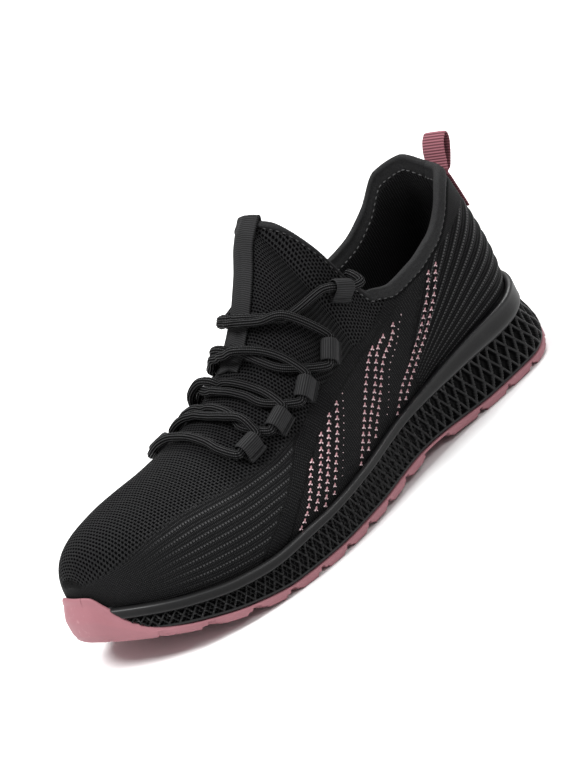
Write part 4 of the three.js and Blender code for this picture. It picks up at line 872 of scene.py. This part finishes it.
def make_upper(material):
    around, side = columns_of_upper()
    around_grid, up_grid = np.meshgrid(around, np.linspace(0, 1, WALL_ROWS))
    points = upper_at(side, around_grid, up_grid)
    halves = np.split(points, 2, axis=1)
    normal = np.concatenate([grid_normals(half) for half in halves], 1)
    y, z = points[..., 1], points[..., 2]
    rise = arc(points)
    ridge = around >= TONGUE_AROUND
    zone = upper_zones(y, z)
    # the collar's binding starts at the tongue's top and goes round the ankle
    collar = np.where(ridge, FAR, rise[-1] - rise)
    binding = ease(BINDING + 0.6, BINDING - 0.4, collar)
    free = 1 - binding
    rim = rim_at(along_of(y))
    toe_line = TOE_RIBS * (z - rim) / (VAMP_EDGE.at("z", y) - rim)
    toe_rib = np.exp(-((((toe_line + 0.5) % 1.0 - 0.5) / RIB_WIDTH) ** 2)) * zone["toe"]
    toe_rib *= ease(-128, -100, y) * ease(2, 7, z - rim)
    heel_rib = (0.5 + 0.5 * np.cos(2 * math.pi * zone["angle"] / FAN_STEP)) * zone["heel"]
    seam = np.exp(-(((collar - BINDING) / SEAM_WIDTH) ** 2))
    bead = np.clip(1 - (2 * collar / BINDING - 1) ** 2, 0, 1) * (collar < BINDING)
    relief = (TOE_RELIEF * toe_rib + HEEL_RELIEF * heel_rib + STRIP_RELIEF * zone["strip"]) * free
    relief += BEAD * bead - SEAM_DEPTH * seam
    outer = points + normal * (relief * ease(0.0, 0.05, up_grid))[..., None]
    inner = points - normal * wall_at(around_grid, up_grid)[..., None]

    # both sides share the ridge from the tongue's top to the toe
    for grid in (outer, inner):
        shared = 0.5 * (grid[-1] + grid[-1][::-1])
        grid[-1] = np.where(ridge[:, None], shared, grid[-1])

    # rolled edge of the collar and tongue
    top, inside = outer[-1], inner[-1]
    half = 0.5 * (top - inside)
    away = unit(points[-1] - points[-3]) * 0.84 * np.linalg.norm(half, axis=1)[:, None]
    turns = np.linspace(0, math.pi, EDGE_STEPS)[1:-1]
    crown = [inside + half * (1 + math.cos(t)) + away * math.sin(t) for t in turns]
    rolled = np.array([top, *crown, inside])

    # the lower edge goes straight down inside the sole's cup
    lower, inner_low = outer[0].copy(), inner[0].copy()
    lower[:, 2] = inner_low[:, 2] = footbed_at(along_of(y[0])) + GAP
    pick = np.round((WALL_ROWS - 1) * (1 - np.linspace(0, 1, LINING_ROWS) ** 2)).astype(int)
    lining = np.concatenate([inner[pick], inner_low[None]])

    # rows of the knit follow each zone's own lines
    low_run = arc(points, 1)[WALL_ROWS // 4]
    signed = np.where(side > 0, low_run, low_run - low_run[-1])
    places = [zone[k] > 0.5 for k in ("heel", "toe", "strip")]
    lines = np.select(places, [zone["angle"] / FAN_STEP * RIB_PITCH, toe_line * RIB_PITCH, zone["run"]], y)
    beside = np.select(places, [np.hypot(y - FAN[0], z), signed, zone["front"]], z)
    uv = {"cloth": cloth_places(points, side), "rows": np.stack([lines, beside], -1)}
    # Painted shade: the knit is darker in the valleys between the heel's ribs; it is also darker along the
    # collar's seam
    painted_valley_shade = 1 - 0.45 * zone["heel"] * (1 - heel_rib) * free
    lit = LIT_RIBS * painted_valley_shade * (1 - 0.6 * seam) * mix(1.0, 0.85, zone["strip"])
    ribbed = zone["heel"] + zone["toe"] * ease(-125, -95, y) * ease(1, 5, z - rim)
    values = {"mesh_zone": zone["mesh"] * free, "rib_zone": ribbed * free, "binding": binding,
              "lit": mix(mix(lit, LIT_MESH, zone["mesh"]), LIT_BINDING, binding)}

    def with_foot(grids):
        return {k: np.concatenate([grid[:1], grid]) for k, grid in grids.items()}

    lining_uv = {"rows": np.stack([np.broadcast_to(signed, lining.shape[:2]), lining[..., 2]], -1)}
    lining_values = {"binding": ease(BINDING + 1.5, BINDING, arc(lining)), "lit": LIT_RIBS}
    patches = [patch(np.concatenate([lower[None], outer]), with_foot(uv), with_foot(values)),
               patch(lining, lining_uv, lining_values), patch(np.stack([lining[-1], lower]))]
    collar_columns = np.count_nonzero(~ridge) // 2 + 1
    for cut in (slice(collar_columns), slice(-collar_columns, None)):
        patches.append(patch(rolled[:, cut], None, {"binding": 1.0, "lit": 0.8}))
    return place(mesh_from("knit_upper", patches), material, "black_knit", "upper")


# Lace and its loops

# Loops from the ankle down: share around, share up, and how far the webbing turns on the upper
LACE_LOOPS = [(0.392, 0.645, 0.6), (0.468, 0.4, 0.2), (0.537, 0.47, 0.1), (0.6, 0.525, 0.05),
              (0.66, 0.56, 0.0)]
# Crossings: upper and lower loop, place on the ridge, where the cords cross from the outer side (0) to the
# inner side (1), and how far from the upper loop towards the lower one a cord still touches the upper
LACE_ROWS = [(0, 1, 0.532, 0.12, 0.45), (1, 2, 0.57, 0.34, 0), (2, 3, 0.618, 0.7, 0),
             (3, 4, 0.664, 0.14, 0)]
LACE_BAR_RIDGE = 0.715
LACE_CLIMBS = [0.22, 0.44, 0.7, 0.86]
LACE_LOW = 0.68
CORD_BESIDE = 0.58 * 2 * LACE_RADIUS
LACE_LEAD = 1.2
LOOP_BORE = LACE_RADIUS + 0.7
LOOP_LIFT = LOOP_BORE + WEBBING + GAP
SEAT_STEP = 0.03
CROSSING = 0.13
CROSSING_LIFT = 2.3 * LACE_RADIUS
CORD_SPACING = 0.45
CORD_TWIST = 1.8
LOOP_SPACING = 0.22
LOOP_RIBS = 0.95
PULL_RIBS = 1.3


def surface(side, around, up):
    return upper_at(*(np.array([v]) for v in (side, float(around), float(up))))[0]


def surface_normal(side, around, up):
    return upper_normal(*(np.array([v]) for v in (side, float(around), float(up))))[0]


def turned(v, axis, angle):
    rest = axis * (axis @ v)
    return rest + (v - rest) * math.cos(angle) + np.cross(axis, v) * math.sin(angle)


def loop_frame(side, index):
    """Centre of a loop's bore, the upper's normal, and the ways to the ankle and out from the throat."""
    around, up, turn = LACE_LOOPS[index]
    normal = surface_normal(side, around, up)
    ankle = surface(side, around - 0.02, up) - surface(side, around + 0.02, up)
    ankle = turned(unit(ankle - normal * (ankle @ normal)), normal, side * turn)
    outward = unit(np.cross(ankle, normal) * side)
    return surface(side, around, up) + normal * LOOP_LIFT, normal, ankle, outward


def seat_on_upper(side, x, level, lean, around, up):
    """The place on the upper with a given x in a leaning plane, found by steps from a place near it."""
    step = 1e-3
    for _ in range(14):
        p = surface(side, around, up)
        pa = (surface(side, around + step, up) - p) / step
        pu = (surface(side, around, up + step) - p) / step
        al, ul = pa[1] - lean * pa[2], pu[1] - lean * pu[2]
        off_x, off_level = x - p[0], level - (p[1] - lean * p[2])
        det = pa[0] * ul - al * pu[0]
        around += np.clip((off_x * ul - off_level * pu[0]) / det, -SEAT_STEP, SEAT_STEP)
        rise = np.clip((pa[0] * off_level - al * off_x) / det, -SEAT_STEP, SEAT_STEP)
        up = np.clip(up + rise, SEAT_STEP, 1)
    return around, up


def over_throat(place_around, place_up, ridge, shift_at, lift_at):
    """Points of a lace pulled tight over the throat, in a plane from the loops to a point of the ridge."""
    top = surface(1, ridge, 1)
    under_lace = ridge < TONGUE_AROUND + TAB_AROUND

    def lay(side, shares):
        foot = surface(side, place_around, place_up)
        lean = (top[1] - foot[1]) / (top[2] - foot[2])
        level = foot[1] - lean * foot[2]
        around, up = place_around, place_up
        points = []
        for climb in shares:
            s = climb / 2 if side > 0 else 1 - climb / 2
            over_tab = (TAB_LIFT + WEBBING + GAP) * ease(0.4, 0.7, climb) * under_lace
            clear = LACE_RADIUS + 3 * GAP + over_tab + lift_at(s)
            if climb < 1:
                x = mix(foot[0], top[0], climb)
                around, up = seat_on_upper(side, x, level + shift_at(s), lean, around, up)
                points.append(surface(side, around, up) + surface_normal(side, around, up) * clear)
            else:
                normal = unit(surface_normal(side, ridge, 1) + surface_normal(-side, ridge, 1))
                points.append(top + normal * clear + np.array([0, shift_at(s), 0]))
        return points

    return lay(1, [*LACE_CLIMBS, 1]) + lay(-1, LACE_CLIMBS)[::-1]


def loop_mouth(side, index, way):
    centre, _, ankle, _ = loop_frame(side, index)
    inside = centre - ankle * 0.5 * way
    mouth = centre + ankle * (LOOP_WIDTH / 2 + 0.4) * way
    return [inside, mouth, mouth + ankle * LACE_LEAD * way]


def cord_path(row, over):
    """One cord of a crossing: it starts on the outer side and changes place with its pair on the way."""
    upper, lower, ridge, cross, reach = LACE_ROWS[row]
    start = loop_mouth(1, lower, 1) if over else loop_mouth(1, upper, -1)
    finish = loop_mouth(-1, upper, -1) if over else loop_mouth(-1, lower, 1)
    high, low = LACE_LOOPS[upper], LACE_LOOPS[lower]
    around, up = mix(high[0], low[0], LACE_LOW), mix(high[1], low[1], LACE_LOW)

    def shift_at(s):
        swapped = ease(cross - CROSSING, cross + CROSSING, s)
        return mix(-CORD_BESIDE, CORD_BESIDE, swapped) * (-1 if over else 1)

    def lift_at(s):
        return CROSSING_LIFT * math.exp(-(((s - cross) / CROSSING) ** 2)) if over else 0.0

    def touch(side):
        a, u = mix(high[0], around, reach), mix(high[1], up, reach)
        return surface(side, a, u) + surface_normal(side, a, u) * (LACE_RADIUS + 5 * GAP)

    path = list(start)
    if reach > 0 and not over:
        path.append(touch(1))
    path += over_throat(around, up, ridge, shift_at, lift_at)
    if reach > 0 and over:
        path.append(touch(-1))
    return path + finish[::-1]


def bar_path():
    around, up, _ = LACE_LOOPS[-1]
    last = len(LACE_LOOPS) - 1
    middle = over_throat(around + 0.03, up, LACE_BAR_RIDGE, lambda s: 0.0, lambda s: 0.0)
    return loop_mouth(1, last, -1) + middle + loop_mouth(-1, last, -1)[::-1]


def end_path(side):
    edge = surface(side, NOTCH_AROUND, 1)
    rise = unit(edge - surface(side, NOTCH_AROUND, 0.9))
    normal = surface_normal(side, NOTCH_AROUND, 0.98)
    clear = LACE_RADIUS + 3 * GAP
    wall = float(wall_at(NOTCH_AROUND, 1.0))
    over_edge = [(clear + 2, 2.2), (-0.5 * wall, clear + 3.8), (-wall - clear, 0.6 * clear),
                 (-wall - clear - 1.6, -2 * LACE_RADIUS)]
    return loop_mouth(side, 0, 1) + [edge + normal * off + rise * back for off, back in over_edge]


def smooth_line(path, spacing):
    """A centripetal Catmull-Rom line through the points, evenly spaced, and its running length."""
    p = np.array(path, float)
    p = np.concatenate([[2 * p[0] - p[1]], p, [2 * p[-1] - p[-2]]])
    fine = []
    for i in range(1, len(p) - 2):
        steps = np.linalg.norm(np.diff(p[i - 1:i + 3], axis=0), axis=1)
        knots = np.r_[0, np.cumsum(np.maximum(steps, 1e-6) ** 0.5)]
        t = np.linspace(knots[1], knots[2], 24, endpoint=False)[:, None]
        a = [mix(p[i - 1 + k], p[i + k], (t - knots[k]) / (knots[k + 1] - knots[k])) for k in (0, 1, 2)]
        b = [mix(a[k], a[k + 1], (t - knots[k]) / (knots[k + 2] - knots[k])) for k in (0, 1)]
        fine.append(mix(b[0], b[1], (t - knots[1]) / (knots[2] - knots[1])))
    line = np.concatenate(fine + [p[-2][None]])
    run = arc(line)
    at = np.linspace(0, run[-1], max(2, int(run[-1] / spacing)))
    return line_at(at, run, line), at


def carried_frame(line, start):
    """Two directions across a line that turn as little as they can along it."""
    tangent = unit(np.gradient(line, axis=0))
    across = []
    for t in tangent:
        start = unit(start - t * (start @ t))
        across.append(start)
    return np.array(across), np.cross(tangent, across)


def cord_patch(path):
    line, run = smooth_line(path, CORD_SPACING)
    a, b = carried_frame(line, np.array([0.3, 0.2, 1.0]))
    s, t = np.meshgrid(run, np.linspace(0, 2 * math.pi, 4 * PLAITS + 1), indexing="ij")
    ridge = 0.5 + 0.5 * np.cos(PLAITS * t)
    twist = np.sin(s * 2 * math.pi / CORD_TWIST + PLAITS * t / 2)
    radius = (LACE_RADIUS - 0.12 + 0.18 * ridge + 0.05 * twist)[..., None]
    way = a[:, None] * np.cos(t)[..., None] + b[:, None] * np.sin(t)[..., None]
    return patch(line[:, None] + radius * way, {"rows": np.stack([s, t], -1)}, flip=True)


def make_lace(material):
    paths = [cord_path(row, over) for row in range(len(LACE_ROWS)) for over in (True, False)]
    paths += [bar_path(), end_path(1), end_path(-1)]
    return place(mesh_from("lace_cord", [cord_patch(p) for p in paths]), material, "black_cord", "lace")


def strap_patch(line, run, across, width, thick, rib, pitch):
    """A ribbed strip of webbing with rounded edges and closed ends, as wide as given in one direction."""
    tangent = unit(np.gradient(line, axis=0))
    side = unit(across - tangent * np.sum(across * tangent, -1, keepdims=True))
    up = np.cross(side, tangent)
    turn = np.linspace(0, 2 * math.pi, 25)
    flat = np.sign(np.cos(turn)) * np.abs(np.cos(turn)) ** 0.22
    tall = np.sign(np.sin(turn)) * np.abs(np.sin(turn)) ** 0.7 * (1 - 0.25 * np.abs(flat) ** 6)
    s, u = np.meshgrid(run, flat * width / 2, indexing="ij")
    half = (thick / 2 - rib * 0.5 * np.cos(2 * math.pi * run / pitch))[:, None] * tall
    points = line[:, None] + side[:, None] * u[..., None] + up[:, None] * half[..., None]
    return capped(points, np.stack([s, u], -1))


def capped(points, places, flip=False):
    """A tube of points with its two ends closed."""
    width = points.shape[1]
    ends = [np.repeat(end.mean(1, keepdims=True), width, 1) for end in (points[:1], points[-1:])]
    rows = np.concatenate([places[:1], places, places[-1:]])
    return patch(np.concatenate([ends[0], points, ends[1]]), {"rows": rows}, flip=flip)


def loop_patch(side, index):
    """Webbing folded round the lace, with both ends sewn down away from the throat."""
    centre, normal, ankle, outward = loop_frame(side, index)
    middle = LOOP_BORE + WEBBING / 2
    low = [(LOOP_TAIL, -middle + 0.5), (LOOP_TAIL * 0.6, -middle + 0.15)]
    turns = np.linspace(-math.pi / 2, -math.pi * 1.72, 12)
    fold = [(middle * math.cos(t), middle * math.sin(t)) for t in turns]
    high = [(middle + 0.9, -0.2), (LOOP_TAIL * 0.75, -middle + 1.55), (LOOP_TAIL, -middle + 1.6)]
    folded = [centre + outward * a + normal * b for a, b in low + fold + high]
    line, run = smooth_line(folded, LOOP_SPACING)
    return strap_patch(line, run, ankle, LOOP_WIDTH, WEBBING, 0.13, LOOP_RIBS)


def make_lace_loops(material):
    for name, side in (("outer", 1), ("inner", -1)):
        for index in range(len(LACE_LOOPS)):
            obj = mesh_from(f"webbing_loop_{name}_{index + 1}", [loop_patch(side, index)])
            place(obj, material, "black_webbing", f"lace_loop_{name}_{index + 1}")


# Tongue tab, heel loop and insole

TAB_LINES = 9
TAB_ROWS = 22
TAB_COLUMNS = 29
TAB_SPACING = 0.4
PULL_TOP = 0.86
PULL_SPACING = 0.3
INSOLE_COLUMNS = 160
INSOLE_ROWS = 60


def last_place(low, high, beyond):
    """The place between low and high where beyond(place) stops being true."""
    for _ in range(18):
        middle = (low + high) / 2
        if beyond(middle):
            low = middle
        else:
            high = middle
    return low


def beside_ridge(around, off):
    """The place on the upper at a distance x from the ridge, and its normal."""
    side = -1 if off < 0 else 1
    ridge = surface(side, around, 1)
    if abs(off) < 1e-6:
        return ridge, unit(surface_normal(1, around, 1) + surface_normal(-1, around, 1))
    up = last_place(0.5, 1.0, lambda u: abs(surface(side, around, u)[0] - ridge[0]) > abs(off))
    return surface(side, around, up), surface_normal(side, around, up)


def on_tongue_edge(off):
    """The place on the tongue's top edge at a distance x from its middle, and the normal just below it."""
    side = -1 if off < 0 else 1
    middle = surface(side, TONGUE_AROUND, 1)[0]

    def beyond(around):
        return abs(surface(side, around, 1)[0] - middle) > abs(off)

    around = last_place(NOTCH_AROUND, TONGUE_AROUND, beyond)
    return surface(side, around, 1), beside_ridge(TONGUE_AROUND + 0.01, off)[1]


def make_tongue_tab(material):
    """Webbing folded over the tongue's top: a short end inside, a long one down the ridge under the lace."""
    shares = np.linspace(-1, 1, TAB_LINES)
    slope = unit(surface(1, TONGUE_AROUND, 1) - surface(1, TONGUE_AROUND + 0.02, 1))
    inside = -UPPER_WALL - TAB_LIFT - WEBBING / 2
    lift = WEBBING / 2 + GAP / 2
    fold = [(-9, inside), (-4, inside), (0.4, inside), (2.2, inside * 0.6), (2.9, -0.3 * UPPER_WALL),
            (2.3, lift * 0.55), (0.8, lift)]
    edge = [on_tongue_edge(o * TAB_WIDTH / 2 * 0.995) for o in shares]
    rows = [[p + slope * back + n * off for p, n in edge] for back, off in fold]
    for around in np.linspace(TONGUE_AROUND + 0.012, TONGUE_AROUND + TAB_AROUND, TAB_ROWS):
        rows.append([p + n * lift for p, n in (beside_ridge(around, o * TAB_WIDTH / 2) for o in shares)])
    lines = [smooth_line(column, TAB_SPACING)[0] for column in np.swapaxes(rows, 0, 1)]
    count = len(lines[TAB_LINES // 2])
    even = np.linspace(0, 1, count)
    sheet = np.stack([line_at(even, np.linspace(0, 1, len(line)), line) for line in lines], 1)
    fine = np.linspace(-1, 1, TAB_COLUMNS)
    dense = np.stack([line_at(fine, shares, row) for row in sheet])
    normal = unit(np.cross(np.gradient(dense, axis=1), np.gradient(dense, axis=0)))
    run, off = np.meshgrid(even * count * TAB_SPACING, fine * TAB_WIDTH / 2, indexing="ij")
    selvedge = 0.22 * ease(0.86, 0.93, np.abs(fine))
    thick = normal * (WEBBING / 2 * (1 - 0.5 * np.abs(fine) ** 12) + selvedge)[None, :, None]

    def round_edge(over, under):
        return np.concatenate([over, under[:, ::-1], over[:, :1]], 1)

    places = np.stack([run, off], -1)
    tube = capped(round_edge(dense + thick, dense - thick), round_edge(places, places), True)
    return place(mesh_from("tongue_webbing", [tube]), material, "black_webbing", "tongue_tab")


def heel_strap_line():
    """The heel strap's middle line in the plane of Y and Z: up the heel, into a flat loop and back."""
    height = COLLAR_HEIGHT - float(rim_at(0.0))
    back = [surface(1, 0, u) for u in np.linspace(PULL_TOP - PULL_TAIL / height, PULL_TOP, 7)]
    root = back[-1] + np.array([0, GAP, 0])
    lean = unit(np.array([0, PULL_LEAN, 1.0]))
    side = np.array([0, lean[2], -lean[1]])
    bow = -0.42 * PULL_WEBBING
    outside = [np.array([root[0], p[1] + GAP + PULL_WEBBING / 2, p[2]]) for p in back]
    loop = [(0.12, 2.2), (0.35, 2.9), (0.6, 3.1), (0.82, 2.9), (0.95, 2.0), (0.985, 0.9), (0.93, 0.2),
            (0.78, bow), (0.55, bow), (0.3, 0.3), (0.08, 0.75), (-0.08, 0.9)]
    return outside + [root + lean * rise * PULL_RISE + side * off for rise, off in loop]


def make_heel_loop(material):
    line, run = smooth_line(heel_strap_line(), PULL_SPACING)
    strap = strap_patch(line, run, np.array([1.0, 0, 0]), PULL_WIDTH, PULL_WEBBING * 0.8, 0.2, PULL_RIBS)
    return place(mesh_from("heel_webbing", [strap]), material, "pink_webbing", "heel_pull_loop")


def make_insole(material):
    point, out = outline(*both_sides(INSOLE_COLUMNS))
    along = along_of(point[:, 1])
    inset = lean_at(along) + RIM_WALL + GAP + UPPER_WALL + 2 * GAP
    bed = footbed_at(along) + GAP
    edge = [(0, 0), (0, 2.6), (-0.3, 3.2), (-1.0, INSOLE_THICKNESS)]
    rows = np.array([ring(point, out, extra - inset, bed + lift) for extra, lift in edge])
    top = across_patch(rows[-1], INSOLE_ROWS)
    bow = 1 - np.linspace(-1, 1, INSOLE_ROWS)[:, None] ** 2
    top[..., 2] += 0.5 * (bow**3 - bow)
    patches = [patch(rows, {"rows": rows[..., :2]}), patch(across_patch(rows[0], 3), flip=True),
               patch(top, {"rows": top[..., :2]})]
    return place(mesh_from("insole_board", patches), material, "black_lining", "insole")


# Stitches

# Columns of stitches on each side: four places on the upper (share around, share up), first and last size
PANEL_COLUMNS = [
    ((0.482, 0.271), (0.509, 0.213), (0.537, 0.143), (0.564, 0.046), 0.45, 0.25),
    ((0.502, 0.284), (0.531, 0.218), (0.562, 0.132), (0.590, 0.017), 1.0, 0.85),
    ((0.525, 0.298), (0.555, 0.227), (0.584, 0.132), (0.612, 0.013), 1.0, 1.0),
    ((0.555, 0.292), (0.581, 0.214), (0.608, 0.120), (0.636, 0.011), 1.0, 1.0),
    ((0.593, 0.255), (0.617, 0.173), (0.640, 0.076), (0.667, 0.006), 1.0, 1.0),
    ((0.311, 0.683), (0.358, 0.350), (0.399, 0.124), (0.433, 0.036), 0.5, 0.3),
    ((0.333, 0.612), (0.389, 0.235), (0.431, 0.099), (0.473, 0.014), 1.0, 0.8),
    ((0.364, 0.458), (0.413, 0.185), (0.454, 0.104), (0.497, 0.008), 1.0, 0.9),
    ((0.393, 0.308), (0.438, 0.182), (0.479, 0.110), (0.521, 0.006), 1.0, 0.9),
    ((0.235, 0.815), (0.288, 0.479), (0.352, 0.184), (0.408, 0.006), 1.0, 0.75),
    ((0.216, 0.800), (0.269, 0.479), (0.330, 0.203), (0.388, 0.006), 1.0, 0.8),
]
PANEL_RISE = np.array([0.0, 0.62, 1.0])
STITCH_STEP = 3.45
BINDING_STITCH_STEP = 3.3
BINDING_STITCH = (1.9, 0.7)
SMALL_STITCH = 0.6
COLUMN_STEPS = 80
# One stitch: three lobes, each with its thread, its middle across and up, its lean, length and width
STITCH_LOBES = [("pink", 0.15, 0.5, -0.35, 1.9, 0.85), ("pale", -0.55, -0.4, -1.0, 1.25, 0.75),
                ("pale", 0.6, -0.5, 0.8, 0.95, 0.6)]


def stitch_places(side, column):
    """Places along a cubic through the column's four places, with the size of the stitch there."""
    *places, first, last = column
    t = np.linspace(0, 1, COLUMN_STEPS)
    cubic = np.polyfit(np.linspace(0, 1, len(places)), np.array(places), len(places) - 1)
    around, up = (np.polyval(cubic[:, k], t) for k in (0, 1))
    run = arc(upper_at(side, around, up))
    for s in np.arange(0.2, run[-1], STITCH_STEP):
        yield np.interp(s, run, around), np.interp(s, run, up), mix(first, last, s / run[-1])


def lobe(centre, along, normal, length, width, height):
    """A small plump stitch: half an ellipsoid that sits in the knit."""
    t, f = np.meshgrid(np.linspace(0, 2 * math.pi, 11), np.linspace(-0.35, math.pi / 2, 6))
    parts = ((along * length / 2, np.cos(f) * np.cos(t)), (normal * height, np.sin(f)),
             (np.cross(along, normal) * width / 2, np.cos(f) * np.sin(t)))
    return patch(centre + sum(way * share[..., None] for way, share in parts), flip=True)


def make_panel_stitches(pink, pale):
    lobes = {"pink": [], "pale": []}
    columns = [(side, column) for side in (1, -1) for column in PANEL_COLUMNS]
    for side, column in columns:
        for around, up, size in stitch_places(side, column):
            centre, normal = surface(side, around, up), surface_normal(side, around, up)
            rise = unit(PANEL_RISE - normal * (normal @ PANEL_RISE))
            across = np.cross(rise, normal)
            if size < SMALL_STITCH:
                lobes["pale"].append(lobe(centre + normal * 0.05, rise, normal, 1.5 * size, 1.1 * size, 0.3))
                continue
            for thread, off, lift, lean, length, width in STITCH_LOBES:
                middle = centre + (across * off + rise * lift) * size + normal * 0.15
                way = turned(rise, normal, lean)
                lobes[thread].append(lobe(middle, way, normal, length * size, width * size, 0.4))
    for thread, material in (("pink", pink), ("pale", pale)):
        place(mesh_from("panel_stitches_" + thread, lobes[thread]), material, "pink_webbing")


def make_binding_stitches(material):
    """A line of small stitches under the binding of the collar and the tongue, outside and on the lining."""
    around, ups = np.linspace(0.0, TONGUE_AROUND - 0.012, 400), np.linspace(0.6, 1, 60)
    a, u = np.meshgrid(around, ups, indexing="ij")
    patches = []
    for side in (1, -1):
        rise = arc(upper_at(side, a, u), 1)
        seat = np.array([np.interp(r[-1] - BINDING + 0.2, r, ups) for r in rise])
        line = upper_at(side, around, seat)
        run = arc(line)
        for s in np.arange(1.0, run[-1], BINDING_STITCH_STEP):
            share, up = np.interp(s, run, around), np.interp(s, run, seat)
            centre, normal = surface(side, share, up), surface_normal(side, share, up)
            ahead = line_at(s + 0.5, run, line) - line_at(s - 0.5, run, line)
            ahead = unit(ahead - normal * (ahead @ normal))
            patches.append(lobe(centre - normal * 0.35, ahead, normal, *BINDING_STITCH, 0.38))
            lining = centre - normal * (float(wall_at(share, up)) - 0.15)
            patches.append(lobe(lining, ahead, -normal, *BINDING_STITCH, 0.45))
    return place(mesh_from("binding_stitches", patches), material, "black_webbing")


# Stage

FLOOR_SIZE = 14
FLOOR = ((0.86, 0.86, 0.86), (0.9, 0.9, 0.9))
WORLD_STRENGTH = 0.4
TARGET = Vector((0.0, 0.0, 0.055))
CAMERA = {"azimuth": 54.96, "elevation": 18.53, "roll": 27.12, "distance": 1.5435, "lens": 161.35,
          "shift_x": 0.0028, "shift_y": 0.0117}
# Lights: name, azimuth, elevation, distance and width in metres, power
LIGHTS = [("key", -20, 62, 2.2, 1.1, 62), ("side", 100, 40, 2.4, 0.9, 16), ("rim", 200, 50, 2.2, 0.9, 40)]


def direction(azimuth, elevation):
    a, e = math.radians(azimuth), math.radians(elevation)
    return Vector((math.sin(a) * math.cos(e), -math.cos(a) * math.cos(e), math.sin(e)))


def make_floor():
    bpy.ops.mesh.primitive_plane_add(size=FLOOR_SIZE, location=(0, 0, 0))
    floor = bpy.context.object
    floor.name = "floor"
    n = Nodes("pale_floor")
    floor.data.materials.append(n.finish(n.colour(*FLOOR, n.noise(3.0)), 0.75))


def make_light(name, azimuth, elevation, distance, size, power):
    light = bpy.data.lights.new(name, "AREA")
    light.shape, light.size, light.energy = "DISK", size, power
    obj = bpy.data.objects.new(name, light)
    way = direction(azimuth, elevation)
    obj.location = TARGET + way * distance
    obj.rotation_euler = (-way).to_track_quat("-Z", "Y").to_euler()
    bpy.context.scene.collection.objects.link(obj)


def make_camera():
    azimuth, roll = math.radians(CAMERA["azimuth"]), math.radians(CAMERA["roll"])
    back = direction(CAMERA["azimuth"], CAMERA["elevation"])
    right = Vector((math.cos(azimuth), math.sin(azimuth), 0.0))
    up = back.cross(right)
    x_axis = right * math.cos(roll) - up * math.sin(roll)
    y_axis = right * math.sin(roll) + up * math.cos(roll)
    data = bpy.data.cameras.new("camera")
    data.lens, data.shift_x, data.shift_y = (CAMERA[k] for k in ("lens", "shift_x", "shift_y"))
    obj = bpy.data.objects.new("camera", data)
    turn = Matrix((x_axis, y_axis, back)).transposed()
    obj.matrix_world = Matrix.Translation(TARGET + back * CAMERA["distance"]) @ turn.to_4x4()
    bpy.context.scene.collection.objects.link(obj)
    bpy.context.scene.camera = obj


def make_world():
    world = bpy.data.worlds.new("studio")
    world.use_nodes = True
    background = world.node_tree.nodes["Background"]
    background.inputs[0].default_value = (1, 1, 1, 1)
    background.inputs[1].default_value = WORLD_STRENGTH
    bpy.context.scene.world = world


make_camera()
make_world()
make_floor()
for light in LIGHTS:
    make_light(*light)
bpy.context.scene.view_settings.view_transform = "Standard"

black_webbing = webbing_material("black_webbing", BLACK_WEBBING, LOOP_RIBS)
make_outsole(rubber_material())
make_midsole(foam_material())
make_upper(knit_material())
make_insole(lining_material())
make_tongue_tab(black_webbing)
make_heel_loop(webbing_material("pink_webbing", PINK_WEBBING, PULL_RIBS))
make_lace_loops(black_webbing)
make_lace(cord_material())
make_panel_stitches(thread_material("pink_thread", PINK, PINK_PALE),
                    thread_material("pale_thread", *PALE_THREAD))
make_binding_stitches(thread_material("grey_thread", *GREY_THREAD))
